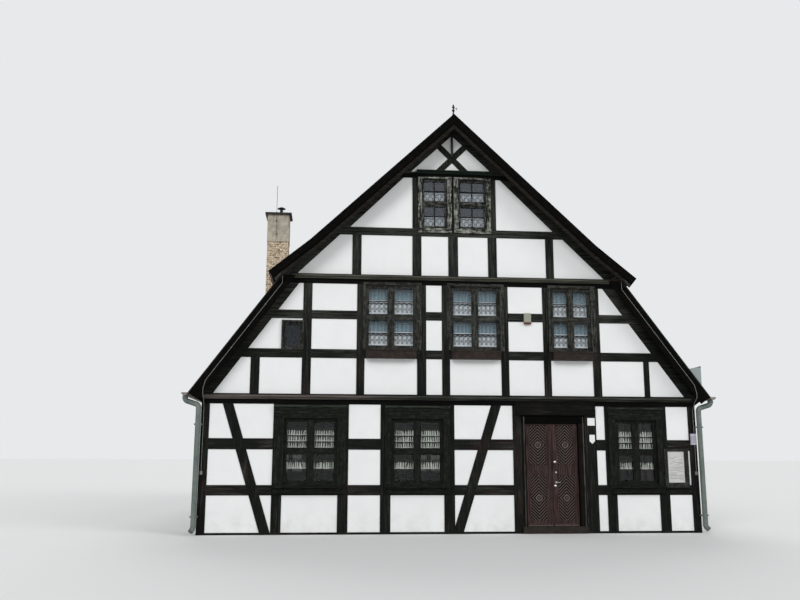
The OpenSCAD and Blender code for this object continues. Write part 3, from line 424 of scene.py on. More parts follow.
def carved_oak(crest):
    """Red-brown door paint, painted shade in the hollows of the carving, painted highlights on the ribs."""
    p = Paint("carved_door_paint", 0.12)
    base = colour("door")
    grain = p.noise(along("z", 2.6, 60), 5, 0.65, 0.3)
    blotch = p.noise(5, 4, 0.55)
    depth = (p.y - crest) * (p.y < crest + 0.025)
    # Painted highlights on the crests of the ribs and on the foot of the weather bars
    rib_highlight = depth.between(0.002, 0.0035) * (1 - depth.between(0.0045, 0.009))
    foot = (p.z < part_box("door_leaf_left")[0].z + 0.028) * (depth < -0.01)
    tone = p.blend(grain.between(0.42, 0.6), scaled(base, 0.36), scaled(base, 1.4))
    tone = p.blend(blotch.between(0.45, 0.75) * 0.4, tone, scaled(base, 0.6))
    tone = p.blend(rib_highlight.most(foot) * (0.55 + grain * 0.3), tone, (0.1, 0.08, 0.072))
    # Painted shade deep in the hollows of the carving
    tone = p.blend(depth.between(0.006, 0.014) * 0.95, tone, scaled(base, 0.07))
    return p.done(tone, 0.55 + blotch * 0.25, grain, 0.0018)


def carved_flower(face):
    """Dark door paint, painted highlights on the raised parts of the flowers, which stand out from a face.
    """
    p = Paint("carved_flower", 0.12)
    grain = p.noise(along("z", 12, 90), 4, 0.6)
    raised = 1 - p.y.between(face - 0.0105, face - 0.0055)
    # The raised parts get a painted highlight, broken by the grain
    rubbed = raised * (0.55 + grain.between(0.4, 0.6) * 0.45)
    tone = p.blend(rubbed, scaled(colour("door"), 0.25), (0.24, 0.2, 0.185))
    return p.done(tone, 0.55 + grain * 0.25, grain, 0.0015)


def weathered_zinc(name, dark, middle, pale):
    """Old zinc sheet, dull and blotched."""
    p = Paint(name, 0.3, Metallic=0.3)
    cloud = p.noise(6, 5, 0.6)
    tone = p.ramp(cloud * 0.6 + p.noise((30, 30, 1.4), 4) * 0.4, (0.32, dark), (0.5, middle), (0.7, pale))
    return p.done(tone, 0.48 + cloud * 0.3, cloud, 0.001)


def plain_metal(name, rgb, roughness, metallic=1.0):
    p = Paint(name, Metallic=metallic)
    wear = p.noise(40, 4, 0.6)
    tone = p.blend(wear.between(0.4, 0.8), rgb, scaled(rgb, 0.6))
    return p.done(tone, roughness + wear * 0.2, wear, 0.0004)


def clear_glass():
    """Thin old panes with a painted reflection, dark near the ground and blue with sky above."""
    p = Paint("window_pane", Roughness=0.04, IOR=2.1)
    streaks = p.noise((1.2, 1.2, 6), 4)
    # The tone of the panes is a painted reflection
    upper = p.blend(streaks, (0.02, 0.035, 0.05), (0.05, 0.075, 0.1))
    tone = p.blend(p.z > FLOOR, (0.004, 0.007, 0.005), upper)
    tone = p.blend(p.z > ATTIC, tone, p.blend(streaks, (0.08, 0.1, 0.125), (0.14, 0.17, 0.2)))
    # The panes at the back are dark and nearly opaque: painted shade that keeps the rooms behind the front
    # panes dark
    dust = p.y > 0.0
    p.feed("Alpha", (p.z > ATTIC) * 0.12 * (1 - dust) + dust * 0.6 + 0.13)
    return p.done(p.blend(dust, tone, (0.02, 0.024, 0.024)), None, p.noise((2.5, 2.5, 3.5), 2), 0.004)


class Cloth(Paint):
    """White lace, measured along the cloth: u across and v up from its foot, both in metres."""

    def __init__(self, name, tint=(0.8, 0.87, 0.9)):
        super().__init__(name, 0.05, Roughness=0.9, Base_Color=(*tint, 1.0))
        self.flat = self.add("ShaderNodeUVMap", {"uv_map": "cloth"})
        self.u, self.v = self.part(self.flat, 0), self.part(self.flat, 1)
        self.drop = self.add("ShaderNodeAttribute", {"attribute_name": "drop"}, out="Fac")

    def mesh_threads(self, scale):
        choices = {"feature": "DISTANCE_TO_EDGE", "voronoi_dimensions": "2D"}
        sockets = {"Vector": self.flat, "Scale": scale, "Randomness": 0.25}
        return 1 - self.add("ShaderNodeTexVoronoi", choices, sockets, "Distance").between(0.05, 0.2)

    def swing(self, pitch, drift):
        """0 to 1 and back over each pitch along the cloth."""
        return (self.u * (math.tau / pitch) + drift).wave() * 0.5 + 0.5

    def flowers(self, period, petals, band=0.09):
        """Flowers in squares of one period, and the dark ring of holes round each."""
        du, dv = self.u / period % 1.0 - 0.5, self.v / period % 1.0 - 0.5
        radius = (du * du + dv * dv) ** 0.5
        rim = (dv.maths("ARCTAN2", du) * petals).wave() * 0.075 + 0.27
        flower = (1 - radius.between(rim - 0.03, rim)) * (radius > 0.07)
        ring = radius.between(rim, rim + 0.03) * (1 - radius.between(rim + band, rim + band + 0.03))
        return flower, ring


def tiered_lace(name, tiers):
    """Ruffles in tiers, each one gathered at its head and ragged above its hem."""
    p = Cloth(name, (0.84, 0.9, 0.82))
    pitch = 0.061
    place = p.drop * tiers % 1.0
    ragged = p.noise((14, 14, 3), 2).between(0.35, 0.65)
    taper = (place / (ragged * 0.3 + 0.7)) ** 3.0 * 0.5
    leaf = p.swing(pitch, p.noise((9, 9, 2), 2) * 12).between(0.26 + taper, 0.46 + taper)
    weave = 0.55 + p.mesh_threads(110) * 0.45
    body = leaf * (0.7 + ragged * 0.3) * weave * (1 - place.between(0.78, 0.88))
    scallop = abs((p.u * (math.pi / pitch)).wave()) * 0.09
    hem = (1 - place.between(scallop + 0.1, scallop + 0.14)) * place.between(scallop, scallop + 0.02) * 0.55
    work = body.most(hem)
    # Between the strokes the net is near black and at least 0.4 opaque: painted shade of the room behind it
    p.feed("Alpha", (work + p.mesh_threads(150) * 0.05).most(0.4).least(1.0) * place.between(0, 0.02))
    return p.done(p.blend(work.between(0, 0.5), (0.004, 0.006, 0.005), (0.9, 0.96, 0.86)))


def figured_lace(name, head, period=0.125, band=0.09, weave=0.44):
    """Plain net above the given share of the drop, and close figured work below it."""
    p = Cloth(name)
    folds = p.swing(0.11, p.noise((7, 7, 0.6), 2) * 9).between(0.3, 0.85)
    flower, ring = p.flowers(period, 6.0, band)
    sprig, gaps = p.flowers(period / 2, 4.0)
    net = 0.03 + p.mesh_threads(120) * 0.14 + folds * 0.09 + (1 - p.drop.between(head, 1)) * 0.3
    work = (weave + folds * 0.14).most(flower * 0.99) * (1 - ring * 0.92)
    work = work * (1 - gaps * 0.6 * (1 - flower)) + sprig * 0.3
    arc = abs((p.u * (math.pi / 0.14)).wave()) * 0.06
    bow = abs(p.drop - head + 0.12 - arc)
    work = work * (1 - (1 - bow.between(0.016, 0.03)) * 0.95)
    edge = (1 - abs(p.drop - head).between(0.03, 0.045)).most(1 - p.drop.between(0.055, 0.075))
    figured = 1 - p.drop.between(head - 0.01, head + 0.01)
    p.feed("Alpha", (net * (1 - figured) + work * figured).most(edge * 0.97).least(1.0))
    # The plain net is tinted blue and the figured work faintly so: a painted reflection of the sky
    return p.done(p.blend(figured.most(edge), (0.5, 0.72, 0.82), (0.86, 0.93, 0.96)))


def bricks(p, vector, width, height, mortar, out, **colours):
    sizes = {"Scale": 1, "Brick Width": width, "Row Height": height, "Mortar Size": mortar}
    return p.add("ShaderNodeTexBrick", {"offset": 0.5}, {"Vector": vector, **sizes, **colours}, out)


def rubble_and_render():
    """A chimney of rough masonry with smeared joints, rendered at its head."""
    p = Paint("chimney_stack", 0.15, Roughness=0.92)
    rendered = p.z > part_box("chimney")[1].z - RENDERED_HEAD
    joint = bricks(p, p.add("ShaderNodeCombineXYZ", {}, {0: p.x + p.y, 1: p.z}), 0.26, 0.077, 0.014, "Fac")
    lumps = p.noise(23, 6, 0.75, 1.1)
    stones = p.part(p.cells((9, 9, 15), out="Color", spread=0.9), 0)
    pale = p.noise(5, 5, 0.65)
    soot = p.noise((9, 9, 1.2), 4, 0.6)
    dark, middle, light = (0.11, 0.07, 0.045), (0.27, 0.185, 0.11), (0.52, 0.4, 0.26)
    body = p.ramp(stones, (0.15, dark), (0.5, middle), (0.85, light))
    mortar = p.blend(p.noise(31, 4).between(0.44, 0.56), (0.82, 0.75, 0.6), (0.36, 0.29, 0.2))
    rough_wall = p.blend((joint * 0.08 + lumps).between(0.48, 0.56), body, mortar)
    smooth_wall = p.blend(pale.between(0.3, 0.75), (0.52, 0.49, 0.4), (0.28, 0.265, 0.21))
    smooth_wall = p.blend(soot.between(0.52, 0.75) * 0.6, smooth_wall, (0.12, 0.11, 0.09))
    height = (1 - rendered) * lumps * 0.8 + pale * 0.12 + p.noise(60) * 0.12
    return p.done(p.blend(rendered, rough_wall, smooth_wall), None, height, 0.014)


def boards(name, width, rgb):
    """Sawn boards that lie along Y, all of one width and each of its own tone."""
    p = Paint(name, 0.3)
    place = p.x / width
    edge = abs(place % 1.0 - 0.5) > 0.485
    tone = p.add("ShaderNodeTexWhiteNoise", {"noise_dimensions": "1D"}, {"W": place.whole()}, out="Value")
    grain = p.noise(along("y", 1.2, 40), 5, 0.6, 0.3)
    body = p.blend(grain.between(0.35, 0.7), scaled(rgb, 0.7), rgb)
    body = p.blend(tone * 0.45, body, scaled(rgb, 0.55))
    return p.done(p.blend(edge, body, scaled(rgb, 0.12)), 0.6 + grain * 0.25, grain * 0.4 - edge, 0.003)


def paving():
    p = Paint("floor_bricks", Roughness=0.85)
    colours = {"Color1": (0.3, 0.16, 0.1), "Color2": (0.22, 0.13, 0.09), "Mortar": (0.2, 0.18, 0.15)}
    brick = bricks(p, p.place, 0.25, 0.125, 0.006, 0, **colours)
    dust = p.noise(3, 5).between(0.4, 0.8) * 0.5
    return p.done(p.blend(dust, brick, (0.34, 0.3, 0.25)), None, p.noise(40, 4), 0.002)


def worn_stone():
    p = Paint("threshold_stone", 0.1)
    cloud, grains = p.noise(7, 5, 0.6), p.noise(120, 2)
    tone = p.ramp(cloud * 0.6 + grains * 0.4, (0.35, (0.012, 0.01, 0.009)), (0.65, (0.036, 0.029, 0.025)))
    return p.done(tone, 0.6 + cloud * 0.3, cloud + grains * 0.3, 0.003)


def enamel(name, rgb, dusty):
    """Enamelled sheet, dusty in blotches."""
    p = Paint(name, 0.3)
    dirt = p.noise(18, 5, 0.6)
    return p.done(p.blend(dirt.between(0.5, 0.85) * 0.35, rgb, dusty), 0.3 + dirt * 0.2, dirt, 0.0006)


def ruled_paper():
    """A sheet ruled with plain grey lines, a little foxed."""
    p = Paint("ruled_paper", 0.2, Roughness=0.8)
    rows = p.z / 0.031 % 1.0
    line = (1 - abs(rows - 0.5).between(0.1, 0.2)) * p.noise((4, 4, 32), 2).between(0.42, 0.5)
    low, high = recess_of("notice_board")
    inside = (p.x > low.x + 0.05) * (p.x < high.x - 0.05) * (p.z > low.z + 0.07) * (p.z < high.z - 0.12)
    foxing = p.noise(6, 4)
    paper = p.blend(foxing.between(0.5, 0.8) * 0.3, (0.9, 0.9, 0.87), (0.66, 0.63, 0.55))
    return p.done(p.blend(line * inside * 0.8, paper, (0.16, 0.16, 0.16)), None, foxing, 0.0008)


def fitting_paints():
    """Lamp, cabinet and sheet-metal box share a node, each with a paint of its own."""
    p = Paint("wall_fittings", 0.2, Roughness=0.55)
    over_eave, under_lamp = 3.3, 4.2
    eave_box = next(high for low, high in solids_of("wall_fittings") if over_eave < low.z < under_lamp)
    lamp_end, lamp_foot, cabinet_head, lid_depth = 2.2, 4.945, 2.6, 0.03
    slot_pitch, slots_foot, slots_head = 0.026, 2.08, 2.26
    lamp = p.x < lamp_end
    cabinet = (p.x > lamp_end) * (p.z < cabinet_head)
    louvre = (p.z / slot_pitch % 1.0 < 0.3) * cabinet * (p.z > slots_foot) * (p.z < slots_head)
    lid = (p.z > eave_box.z - lid_depth) * (1 - lamp) * (1 - cabinet)
    dirt = p.noise(20, 4)
    tone = p.blend(lamp, (0.27, 0.31, 0.3), (0.29, 0.29, 0.24))
    tone = p.blend(lamp * (p.z < lamp_foot), tone, (0.1, 0.03, 0.024))
    tone = p.blend(cabinet, tone, (0.47, 0.45, 0.53))
    # Dark slots across the louvres: painted shade in the openings
    tone = p.blend(louvre * 0.75, tone, (0.13, 0.12, 0.14))
    tone = p.blend(lid, tone, (0.02, 0.02, 0.02))
    grime = (dirt * 0.5 + p.noise((30, 30, 2), 4) * 0.5).between(0.5, 0.8) * 0.45
    return p.done(p.blend(grime, tone, (0.12, 0.11, 0.1)), None, dirt - louvre * 2, 0.001)


def ledge_paint(black, worn):
    """Drip boards: near black, greened on top, and bleached at the left end of the lowest."""
    p = Paint("ledge_paint", 0.08)
    grain = p.noise(along("x", 1.2, 70), 5, 0.62)
    streaks = grain.between(0.38, 0.6)
    # Heights at which one ledge's paint gives way to the next one's
    over_lowest, under_collar, over_collar, under_top = (3.2, 3.4), (4.5, 5), (7, 7.5), (7.5, 8)
    sunned = (1 - p.x.between(-3.4, -0.6)) * (1 - p.z.between(*over_lowest))
    collar = p.z.between(*under_collar) * (1 - p.z.between(*over_collar))
    tone = p.blend(streaks, black, scaled(worn, 1.5))
    tone = p.blend(p.noise(1.1, 4).between(0.5, 0.62) * 0.3, tone, (0.03, 0.019, 0.016))
    tone = p.blend(collar * 0.9, tone, p.blend(streaks, (0.035, 0.036, 0.028), (0.115, 0.115, 0.088)))
    tone = p.blend(p.z.between(*under_top) * 0.7, tone, (0.004, 0.016, 0.01))
    tone = p.blend(sunned * grain.between(0.3, 0.6) * 0.8, tone, (0.17, 0.14, 0.13))
    return p.done(tone, 0.7 + grain * 0.2, grain, 0.003)


class HOUSE_OT_finishes(bpy.types.Operator):
    """Gives every CAD node its finish"""

    bl_idname = "house.finishes"
    bl_label = "Finishes"

    def execute(self, context):
        black, worn, brown = colour("timber"), colour("timber_worn"), colour("timber_brown")
        drips = sorted({round(low.z, 3) for low, high in solids_of("weather_ledges")})
        lintel = scaled(black, 0.6), scaled(worn, 0.5), scaled(brown, 0.5)
        pipe = (0.085, 0.105, 0.095), (0.135, 0.163, 0.148), (0.205, 0.225, 0.205)
        gutter = (0.12, 0.115, 0.1), (0.21, 0.195, 0.175), (0.3, 0.28, 0.25)
        finishes = {
            timber("timber_upright", "z", black, worn, brown):
                "front_posts back_posts front_braces back_braces",
            timber("timber_lying", "x", scaled(black, 1.2), scaled(worn, 1.2), brown, drips):
                "front_rails back_rails gable_rafters",
            timber("lintel_board", "x", *lintel): "sign_board",
            timber("timber_side", "y", black, worn, brown): "left_wall_frame right_wall_frame",
            verge_paint(black, worn, brown): "verge_boards",
            limewash(): "front_infill back_infill left_wall_infill right_wall_infill",
            timber("rough_timber", "x", (0.09, 0.055, 0.035), (0.17, 0.11, 0.075), (0.1, 0.06, 0.04)):
                "floor_joists purlins lower_rafters upper_rafters",
            boards("floor_boards", 0.16, (0.3, 0.19, 0.11)): "upper_floor attic_floor",
            paving(): "ground_floor",
            fired_clay(): "ridge_cap",
            boards("roof_boards", 0.15, (0.03, 0.024, 0.02)): ROOFS,
            ledge_paint(black, worn): "weather_ledges",
            window_wood("casing_wood", 1.0, CASING_RAILS): "window_casings",
            window_wood("sash_wood", 0.32, SASH_RAILS): "window_sashes",
            window_paint("case_paint", (0.012, 0.012, 0.011), (0.05, 0.05, 0.046)): "notice_board",
            window_paint("planter_paint", (0.018, 0.013, 0.011), (0.05, 0.035, 0.028), "x"): "window_boxes",
            clear_glass(): "window_glass",
            figured_lace("plain_lace", 0.0): "curtains",
            plain_metal("satin_steel", (0.62, 0.62, 0.61), 0.24): "door_furniture",
            plain_metal("black_iron", (0.014, 0.0135, 0.0135), 0.6, 0.2): "finial chimney_cap curtain_rods",
            weathered_zinc("pipe_zinc", *pipe): "downpipes",
            weathered_zinc("gutter_zinc", *gutter): "gutters",
            door_frame_paint(): "door_frame",
            carved_oak(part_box("door_leaf_left")[0].y + WEATHER_BAR): "door_leaf_left door_leaf_right",
            worn_stone(): "threshold",
            fitting_paints(): "wall_fittings",
            rubble_and_render(): "chimney",
        }
        bare = set(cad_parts)
        for material, names in finishes.items():
            for name in names.split():
                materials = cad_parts[name].data.materials
                materials.clear()
                materials.append(material)
                bare.discard(name)
        if bare:
            raise RuntimeError(f"no finish for {sorted(bare)}")
        return {"FINISHED"}


# Modelling


def finish_of(name):
    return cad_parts[name].data.materials[0]


def verts_in(geometry):
    return [g for g in geometry if isinstance(g, bmesh.types.BMVert)]


def corners_of(points):
    return tuple(Vector(pick(point[axis] for point in points) for axis in range(3)) for pick in (min, max))


def solids_of(name):
    """The low and high corners of each separate solid of a CAD node."""
    bm = bmesh.new()
    bm.from_mesh(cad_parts[name].data)
    bmesh.ops.remove_doubles(bm, verts=bm.verts, dist=1e-5)
    seen, found = set(), []
    for start in bm.verts:
        if start in seen:
            continue
        seen.add(start)
        todo, points = [start], []
        while todo:
            vert = todo.pop()
            points.append(vert.co.copy())
            for edge in vert.link_edges:
                other = edge.other_vert(vert)
                if other not in seen:
                    seen.add(other)
                    todo.append(other)
        found.append(corners_of(points))
    bm.free()
    return found


def recess_of(name):
    """The corners of the hollow in the front of a CAD node, at its back."""
    low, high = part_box(name)
    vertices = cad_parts[name].data.vertices
    return corners_of([v.co for v in vertices if low.y + 0.005 < v.co.y < high.y - 0.005])


def lowest_at(name, x):
    """The lowest height at which the edges of a CAD node cross a value of X."""
    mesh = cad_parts[name].data
    heights = []
    for edge in mesh.edges:
        a, b = (mesh.vertices[index].co for index in edge.vertices)
        if (a.x - x) * (b.x - x) < 0:
            heights.append(a.z + (x - a.x) * (b.z - a.z) / (b.x - a.x))
    return min(heights)


def ease(bm, verts, bevel):
    """Bevels every edge at the given corners, each edge once and always in the same order."""
    edges = list(dict.fromkeys(edge for vert in verts for edge in vert.link_edges))
    bmesh.ops.bevel(
        bm, geom=edges, offset=bevel, offset_type="OFFSET", segments=2, profile=0.5, affect="EDGES",
        material=-1)


def block(bm, low, high, bevel=0.0):
    """A box between two corners, with its edges eased."""
    verts = bmesh.ops.create_cube(bm, size=1.0)["verts"]
    low, high = Vector(low), Vector(high)
    bmesh.ops.scale(bm, vec=high - low, verts=verts)
    bmesh.ops.translate(bm, vec=(low + high) / 2, verts=verts)
    if bevel:
        ease(bm, verts, bevel)


def clip(bm, x, front, back, low, high, half=0.012, bevel=0.002):
    """A block centred on X, between two values of Y and two heights."""
    block(bm, (x - half, front, low), (x + half, back, high), bevel)


def sheet_metal(bm, outline, face, thick):
    """A flat plate of the given outline in X and Z, standing out towards -Y from a face."""
    corners = [bm.verts.new((x, face, z)) for x, z in outline]
    front = verts_in(bmesh.ops.extrude_face_region(bm, geom=[bm.faces.new(corners)])["geom"])
    bmesh.ops.translate(bm, vec=(0, -thick, 0), verts=front)
    ease(bm, corners + front, 0.0015)


def round_head(bm, place, segments, foot, head, depth, turn=FACE_ON):
    """A screw, bolt or peg with its axis along Y."""
    at = Matrix.Translation(place) @ turn
    bmesh.ops.create_cone(
        bm, cap_ends=True, segments=segments, radius1=foot, radius2=head, depth=depth, matrix=at)


def wire(bm, points, radius):
    """A round wire through a list of points."""
    curve = bpy.data.curves.new("wire", "CURVE")
    curve.dimensions = "3D"
    curve.bevel_depth = radius
    curve.bevel_resolution = 2
    curve.use_fill_caps = True
    spline = curve.splines.new("POLY")
    spline.points.add(len(points) - 1)
    for point, place in zip(spline.points, points):
        point.co = (*place, 1.0)
    holder = bpy.data.objects.new("wire", curve)
    mesh = bpy.data.meshes.new_from_object(holder)
    bm.from_mesh(mesh)
    bpy.data.objects.remove(holder)
    bpy.data.curves.remove(curve)
    bpy.data.meshes.remove(mesh)


def finish_piece(bm, name, material, body="house", replaces=(), smooth=False):
    mesh = bpy.data.meshes.new(name)
    bmesh.ops.recalc_face_normals(bm, faces=bm.faces)
    bm.to_mesh(mesh)
    bm.free()
    for polygon in mesh.polygons:
        polygon.use_smooth = smooth
    mesh.materials.append(material)
    piece = bpy.data.objects.new(name, mesh)
    bpy.context.scene.collection.objects.link(piece)
    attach(piece, body)
    if replaces:
        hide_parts(*replaces)
    return piece


# Roof


def outer_line(name):
    """The outer edge of a roof slab in X and Z, from its head over its kinks down to its tip."""
    points = {(round(v.co.x, 4), round(v.co.z, 4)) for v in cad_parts[name].data.vertices}
    head = max(points, key=lambda p: (p[1], abs(p[0])))
    tip = max(points, key=lambda p: abs(p[0]))
    run, fall = abs(tip[0]) - abs(head[0]), head[1] - tip[1]
    line, deepest_kink = [head], 0.11
    for x, z in sorted(points, key=lambda p: -p[1]):
        share = (abs(x) - abs(head[0])) / run
        if 0.2 < share < 0.98 and z > head[1] - share * fall - deepest_kink:
            line.append((x, z))
    return line + [tip]


def one_tile(bm, width, length, thick):
    """A plain tile with a rounded tail, lying along +Y with its tail at the origin."""
    half, reach = width / 2 - 0.002, width * 0.32
    tail = [(math.sin(a) * half, reach * (1 - math.cos(a))) for a in (-0.68, 0.0, 0.68)]
    outline = [(-half, reach), *tail, (half, reach), (half, length), (-half, length)]
    face = bm.faces.new([bm.verts.new((x, y, 0.0)) for x, y in outline])
    top = bmesh.ops.extrude_face_region(bm, geom=[face])["geom"]
    bmesh.ops.translate(bm, vec=(0, 0, thick), verts=verts_in(top))


def tile_slope(bm, lower, upper, y0, y1, sizes, seed):
    """Courses of tiles from the lower to the upper point, each course half a tile over."""
    rand = random.Random(seed)
    run = Vector((upper[0] - lower[0], 0.0, upper[1] - lower[1]))
    up = run.normalized()
    normal = Vector((-up.z, 0, up.x))
    if normal.z < 0:
        normal.negate()
    count = max(1, round(run.length / sizes.tile_gauge))
    gauge = run.length / count
    columns = int((y1 - y0) / sizes.tile_width)
    width = (y1 - y0) / (columns + 0.5)
    thick, length, overhang = sizes.tile_thickness, gauge + 0.05, 0.012
    tilt = (thick * 1.15 + 0.002) / gauge
    piece = bmesh.new()
    one_tile(piece, width, length, thick)
    tile_verts = len(piece.verts)
    first = list(piece.verts) + list(piece.edges) + list(piece.faces)
    for column in range(1, columns):
        copy = bmesh.ops.duplicate(piece, geom=first)["geom"]
        bmesh.ops.translate(piece, vec=(column * width, 0, 0), verts=verts_in(copy))
    row = bpy.data.meshes.new("row")
    piece.to_mesh(row)
    piece.free()
    for course in range(count):
        start = len(bm.verts)
        bm.from_mesh(row)
        bm.verts.ensure_lookup_table()
        foot = Vector((lower[0], 0, lower[1])) + up * (course * gauge - overhang)
        shift = y0 + width / 2 + (width / 2 if course % 2 else 0.0)
        tone_layer = bm.verts.layers.float["tone"]
        for first_vert in range(start, len(bm.verts), tile_verts):
            tone = rand.random()
            slip, lift, turn = rand.gauss(0, 0.0025), rand.random() * 0.003, rand.gauss(0, 0.006)
            centre = (first_vert - start) // tile_verts * width
            for index in range(first_vert, first_vert + tile_verts):
                vert = bm.verts[index]
                across, rise, out = vert.co
                across += rise * turn
                rise += slip + (across - centre) * turn * 0.5
                height = out + tilt * (length - rise) + lift
                vert.co = foot + up * rise + normal * height + Vector((0, across + shift, 0))
                vert[tone_layer] = tone
    bpy.data.meshes.remove(row)


class HOUSE_OT_roof_tiles(bpy.types.Operator):
    """Lays the plain tiles on the four slopes"""

    bl_idname = "house.roof_tiles"
    bl_label = "Roof tiles"

    def execute(self, context):
        sizes = context.scene.roof_sizes
        for index, name in enumerate(ROOFS.split()):
            low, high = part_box(name)
            line = outer_line(name)
            bm = bmesh.new()
            bm.verts.layers.float.new("tone")
            for part, (upper, lower) in enumerate(zip(line, line[1:])):
                tile_slope(bm, lower, upper, low.y + 0.002, high.y - 0.002, sizes, index * 7 + part)
            finish_piece(bm, name.replace("roof", "tiles"), finish_of("ridge_cap"))
        return {"FINISHED"}


class HOUSE_OT_ridge_tiles(bpy.types.Operator):
    """Caps the ridge with half-round tiles that lap each other"""

    bl_idname = "house.ridge_tiles"
    bl_label = "Ridge tiles"

    def execute(self, context):
        sizes = context.scene.roof_sizes
        low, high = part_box("ridge_cap")
        radius, thick, flare, lap, seat = sizes.ridge_radius, 0.016, 1.1, 0.045, 0.042
        count = round((high.y - low.y) / sizes.ridge_gauge)
        gauge = (high.y - low.y) / count
        rand = random.Random(5)
        bm = bmesh.new()
        layer = bm.verts.layers.float.new("tone")
        for index in range(count):
            start = [bm.verts.new((r, 0, 0)) for r in (radius, radius - thick)]
            bmesh.ops.spin(
                bm, geom=start + [bm.edges.new(start)], cent=(0, 0, 0), axis=(0, -1, 0), angle=math.pi,
                steps=10, use_merge=False, use_duplicate=False)
            arc = [face for face in bm.faces if not face.tag]
            far = verts_in(bmesh.ops.extrude_face_region(bm, geom=arc)["geom"])
            bmesh.ops.translate(bm, vec=(0, -gauge - (lap if index else 0.0), 0), verts=far)
            bmesh.ops.scale(bm, vec=(flare, 1, flare), verts=far)
            whole = {vert for face in bm.faces if not face.tag for vert in face.verts}
            tone = rand.random()
            foot = high.z - radius * flare - seat
            place = (rand.gauss(0, 0.002), high.y - index * gauge, foot + rand.random() * 0.004)
            bmesh.ops.translate(bm, vec=place, verts=list(whole))
            for vert in whole:
                vert[layer] = tone
            for face in bm.faces:
                face.tag = True
        for vert in bm.verts:
            vert.co.y = max(vert.co.y, low.y)
        finish_piece(bm, "ridge_tiles", finish_of("ridge_cap"), replaces=["ridge_cap"])
        return {"FINISHED"}


# Windows


class HOUSE_OT_glazing_bars(bpy.types.Operator):
    """Adds the thin bars that divide the lights of the upper storeys"""

    bl_idname = "house.glazing_bars"
    bl_label = "Glazing bars"

    def execute(self, context):
        sizes = context.scene.window_sizes
        half, depth, lap, rebate, seat = sizes.bar_width / 2, sizes.bar_depth, 0.006, 0.043, 0.0005
        narrow, far_left = 0.42, -3.0
        bm = bmesh.new()
        for low, high in solids_of("window_glass"):
            small_light = low.z < ATTIC and high.x - low.x < narrow and low.x < far_left
            if low.z < FLOOR or small_light:
                continue
            x0, x1, z0, z1 = low.x + rebate, high.x - rebate, low.z + rebate, high.z - rebate
            y0 = low.y - depth - seat if low.y < 0 else high.y + seat
            y1 = y0 + depth
            middle, centre = (z0 + z1) / 2, (x0 + x1) / 2
            block(bm, (x0 - lap, y0, middle - half), (x1 + lap, y1, middle + half), 0.005)
            if low.z > ATTIC:
                clip(bm, centre, y0 + 0.001, y1 - 0.001, z0 - lap, z1 + lap, half, 0.005)
        paint = window_paint("glazing_bar_paint", (0.004, 0.004, 0.0035), (0.022, 0.022, 0.019))
        finish_piece(bm, "glazing_bars", paint)
        return {"FINISHED"}


def hang_lace(name, low, high, material, sizes):
    """A net gathered on its rod, in pleats that deepen towards the foot."""
    width, drop = high.x - low.x, high.z - low.z
    waves = max(4, round(width / sizes.pleat))
    swing = sizes.pleat_depth * 0.5
    points_a_wave, row_height, gathered = 6, 0.06, 0.45
    columns, rows = waves * points_a_wave, max(4, round(drop / row_height))
    bm = bmesh.new()
    bmesh.ops.create_grid(bm, x_segments=columns, y_segments=rows, size=0.5)
    uv = bm.loops.layers.uv.new("cloth")
    down_layer = bm.verts.layers.float.new("drop")
    rand = random.Random(name)
    swings = [0.75 + 0.5 * rand.random() for _ in range(waves + 2)]
    middle = (low.y + high.y) / 2
    cloth, samples = 0.0, columns * 8
    for sample in range(samples):
        a0, a1 = (s / samples * waves * math.tau for s in (sample, sample + 1))
        cloth += math.hypot(width / samples, swing * (math.sin(a1) - math.sin(a0)))
    for vert in bm.verts:
        across, level = vert.co.x + 0.5, vert.co.y + 0.5
        vert[down_layer] = level
        fold = math.sin(across * waves * math.tau) * swing * (1 - gathered * level)
        out = middle + fold * swings[int(across * waves)]
        vert.co = (low.x + across * width, out, low.z + level * drop)
    for face in bm.faces:
        for loop in face.loops:
            x = (loop.vert.co.x - low.x) / width
            loop[uv].uv = (x * cloth, loop.vert[down_layer] * drop)
    piece = finish_piece(bm, name, material, smooth=True)
    return piece


class HOUSE_OT_lace(bpy.types.Operator):
    """Hangs the lace behind the front and back windows"""

    bl_idname = "house.lace"
    bl_label = "Lace"

    def execute(self, context):
        three, one = tiered_lace("tiered_lace", 3.0), tiered_lace("single_tier_lace", 1.0)
        half = figured_lace("half_figured_lace", 0.5)
        full = figured_lace("figured_lace", 0.94, 0.165, 0.16, 0.8)
        nets = sorted(solids_of("curtains"), key=lambda n: (n[0].y, n[0].z, n[0].x))
        one_tier_drop = 0.3
        for index, (low, high) in enumerate(nets):
            if low.z < FLOOR:
                storey, material = "ground", three if high.z - low.z > one_tier_drop else one
            else:
                storey, material = ("upper", half) if low.z < ATTIC else ("attic", full)
            name = f"lace_{'front' if low.y < 0 else 'back'}_{storey}_{index:02d}"
            hang_lace(name, low, high, material, context.scene.window_sizes)
        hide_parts("curtains")
        return {"FINISHED"}


# Small things on the front


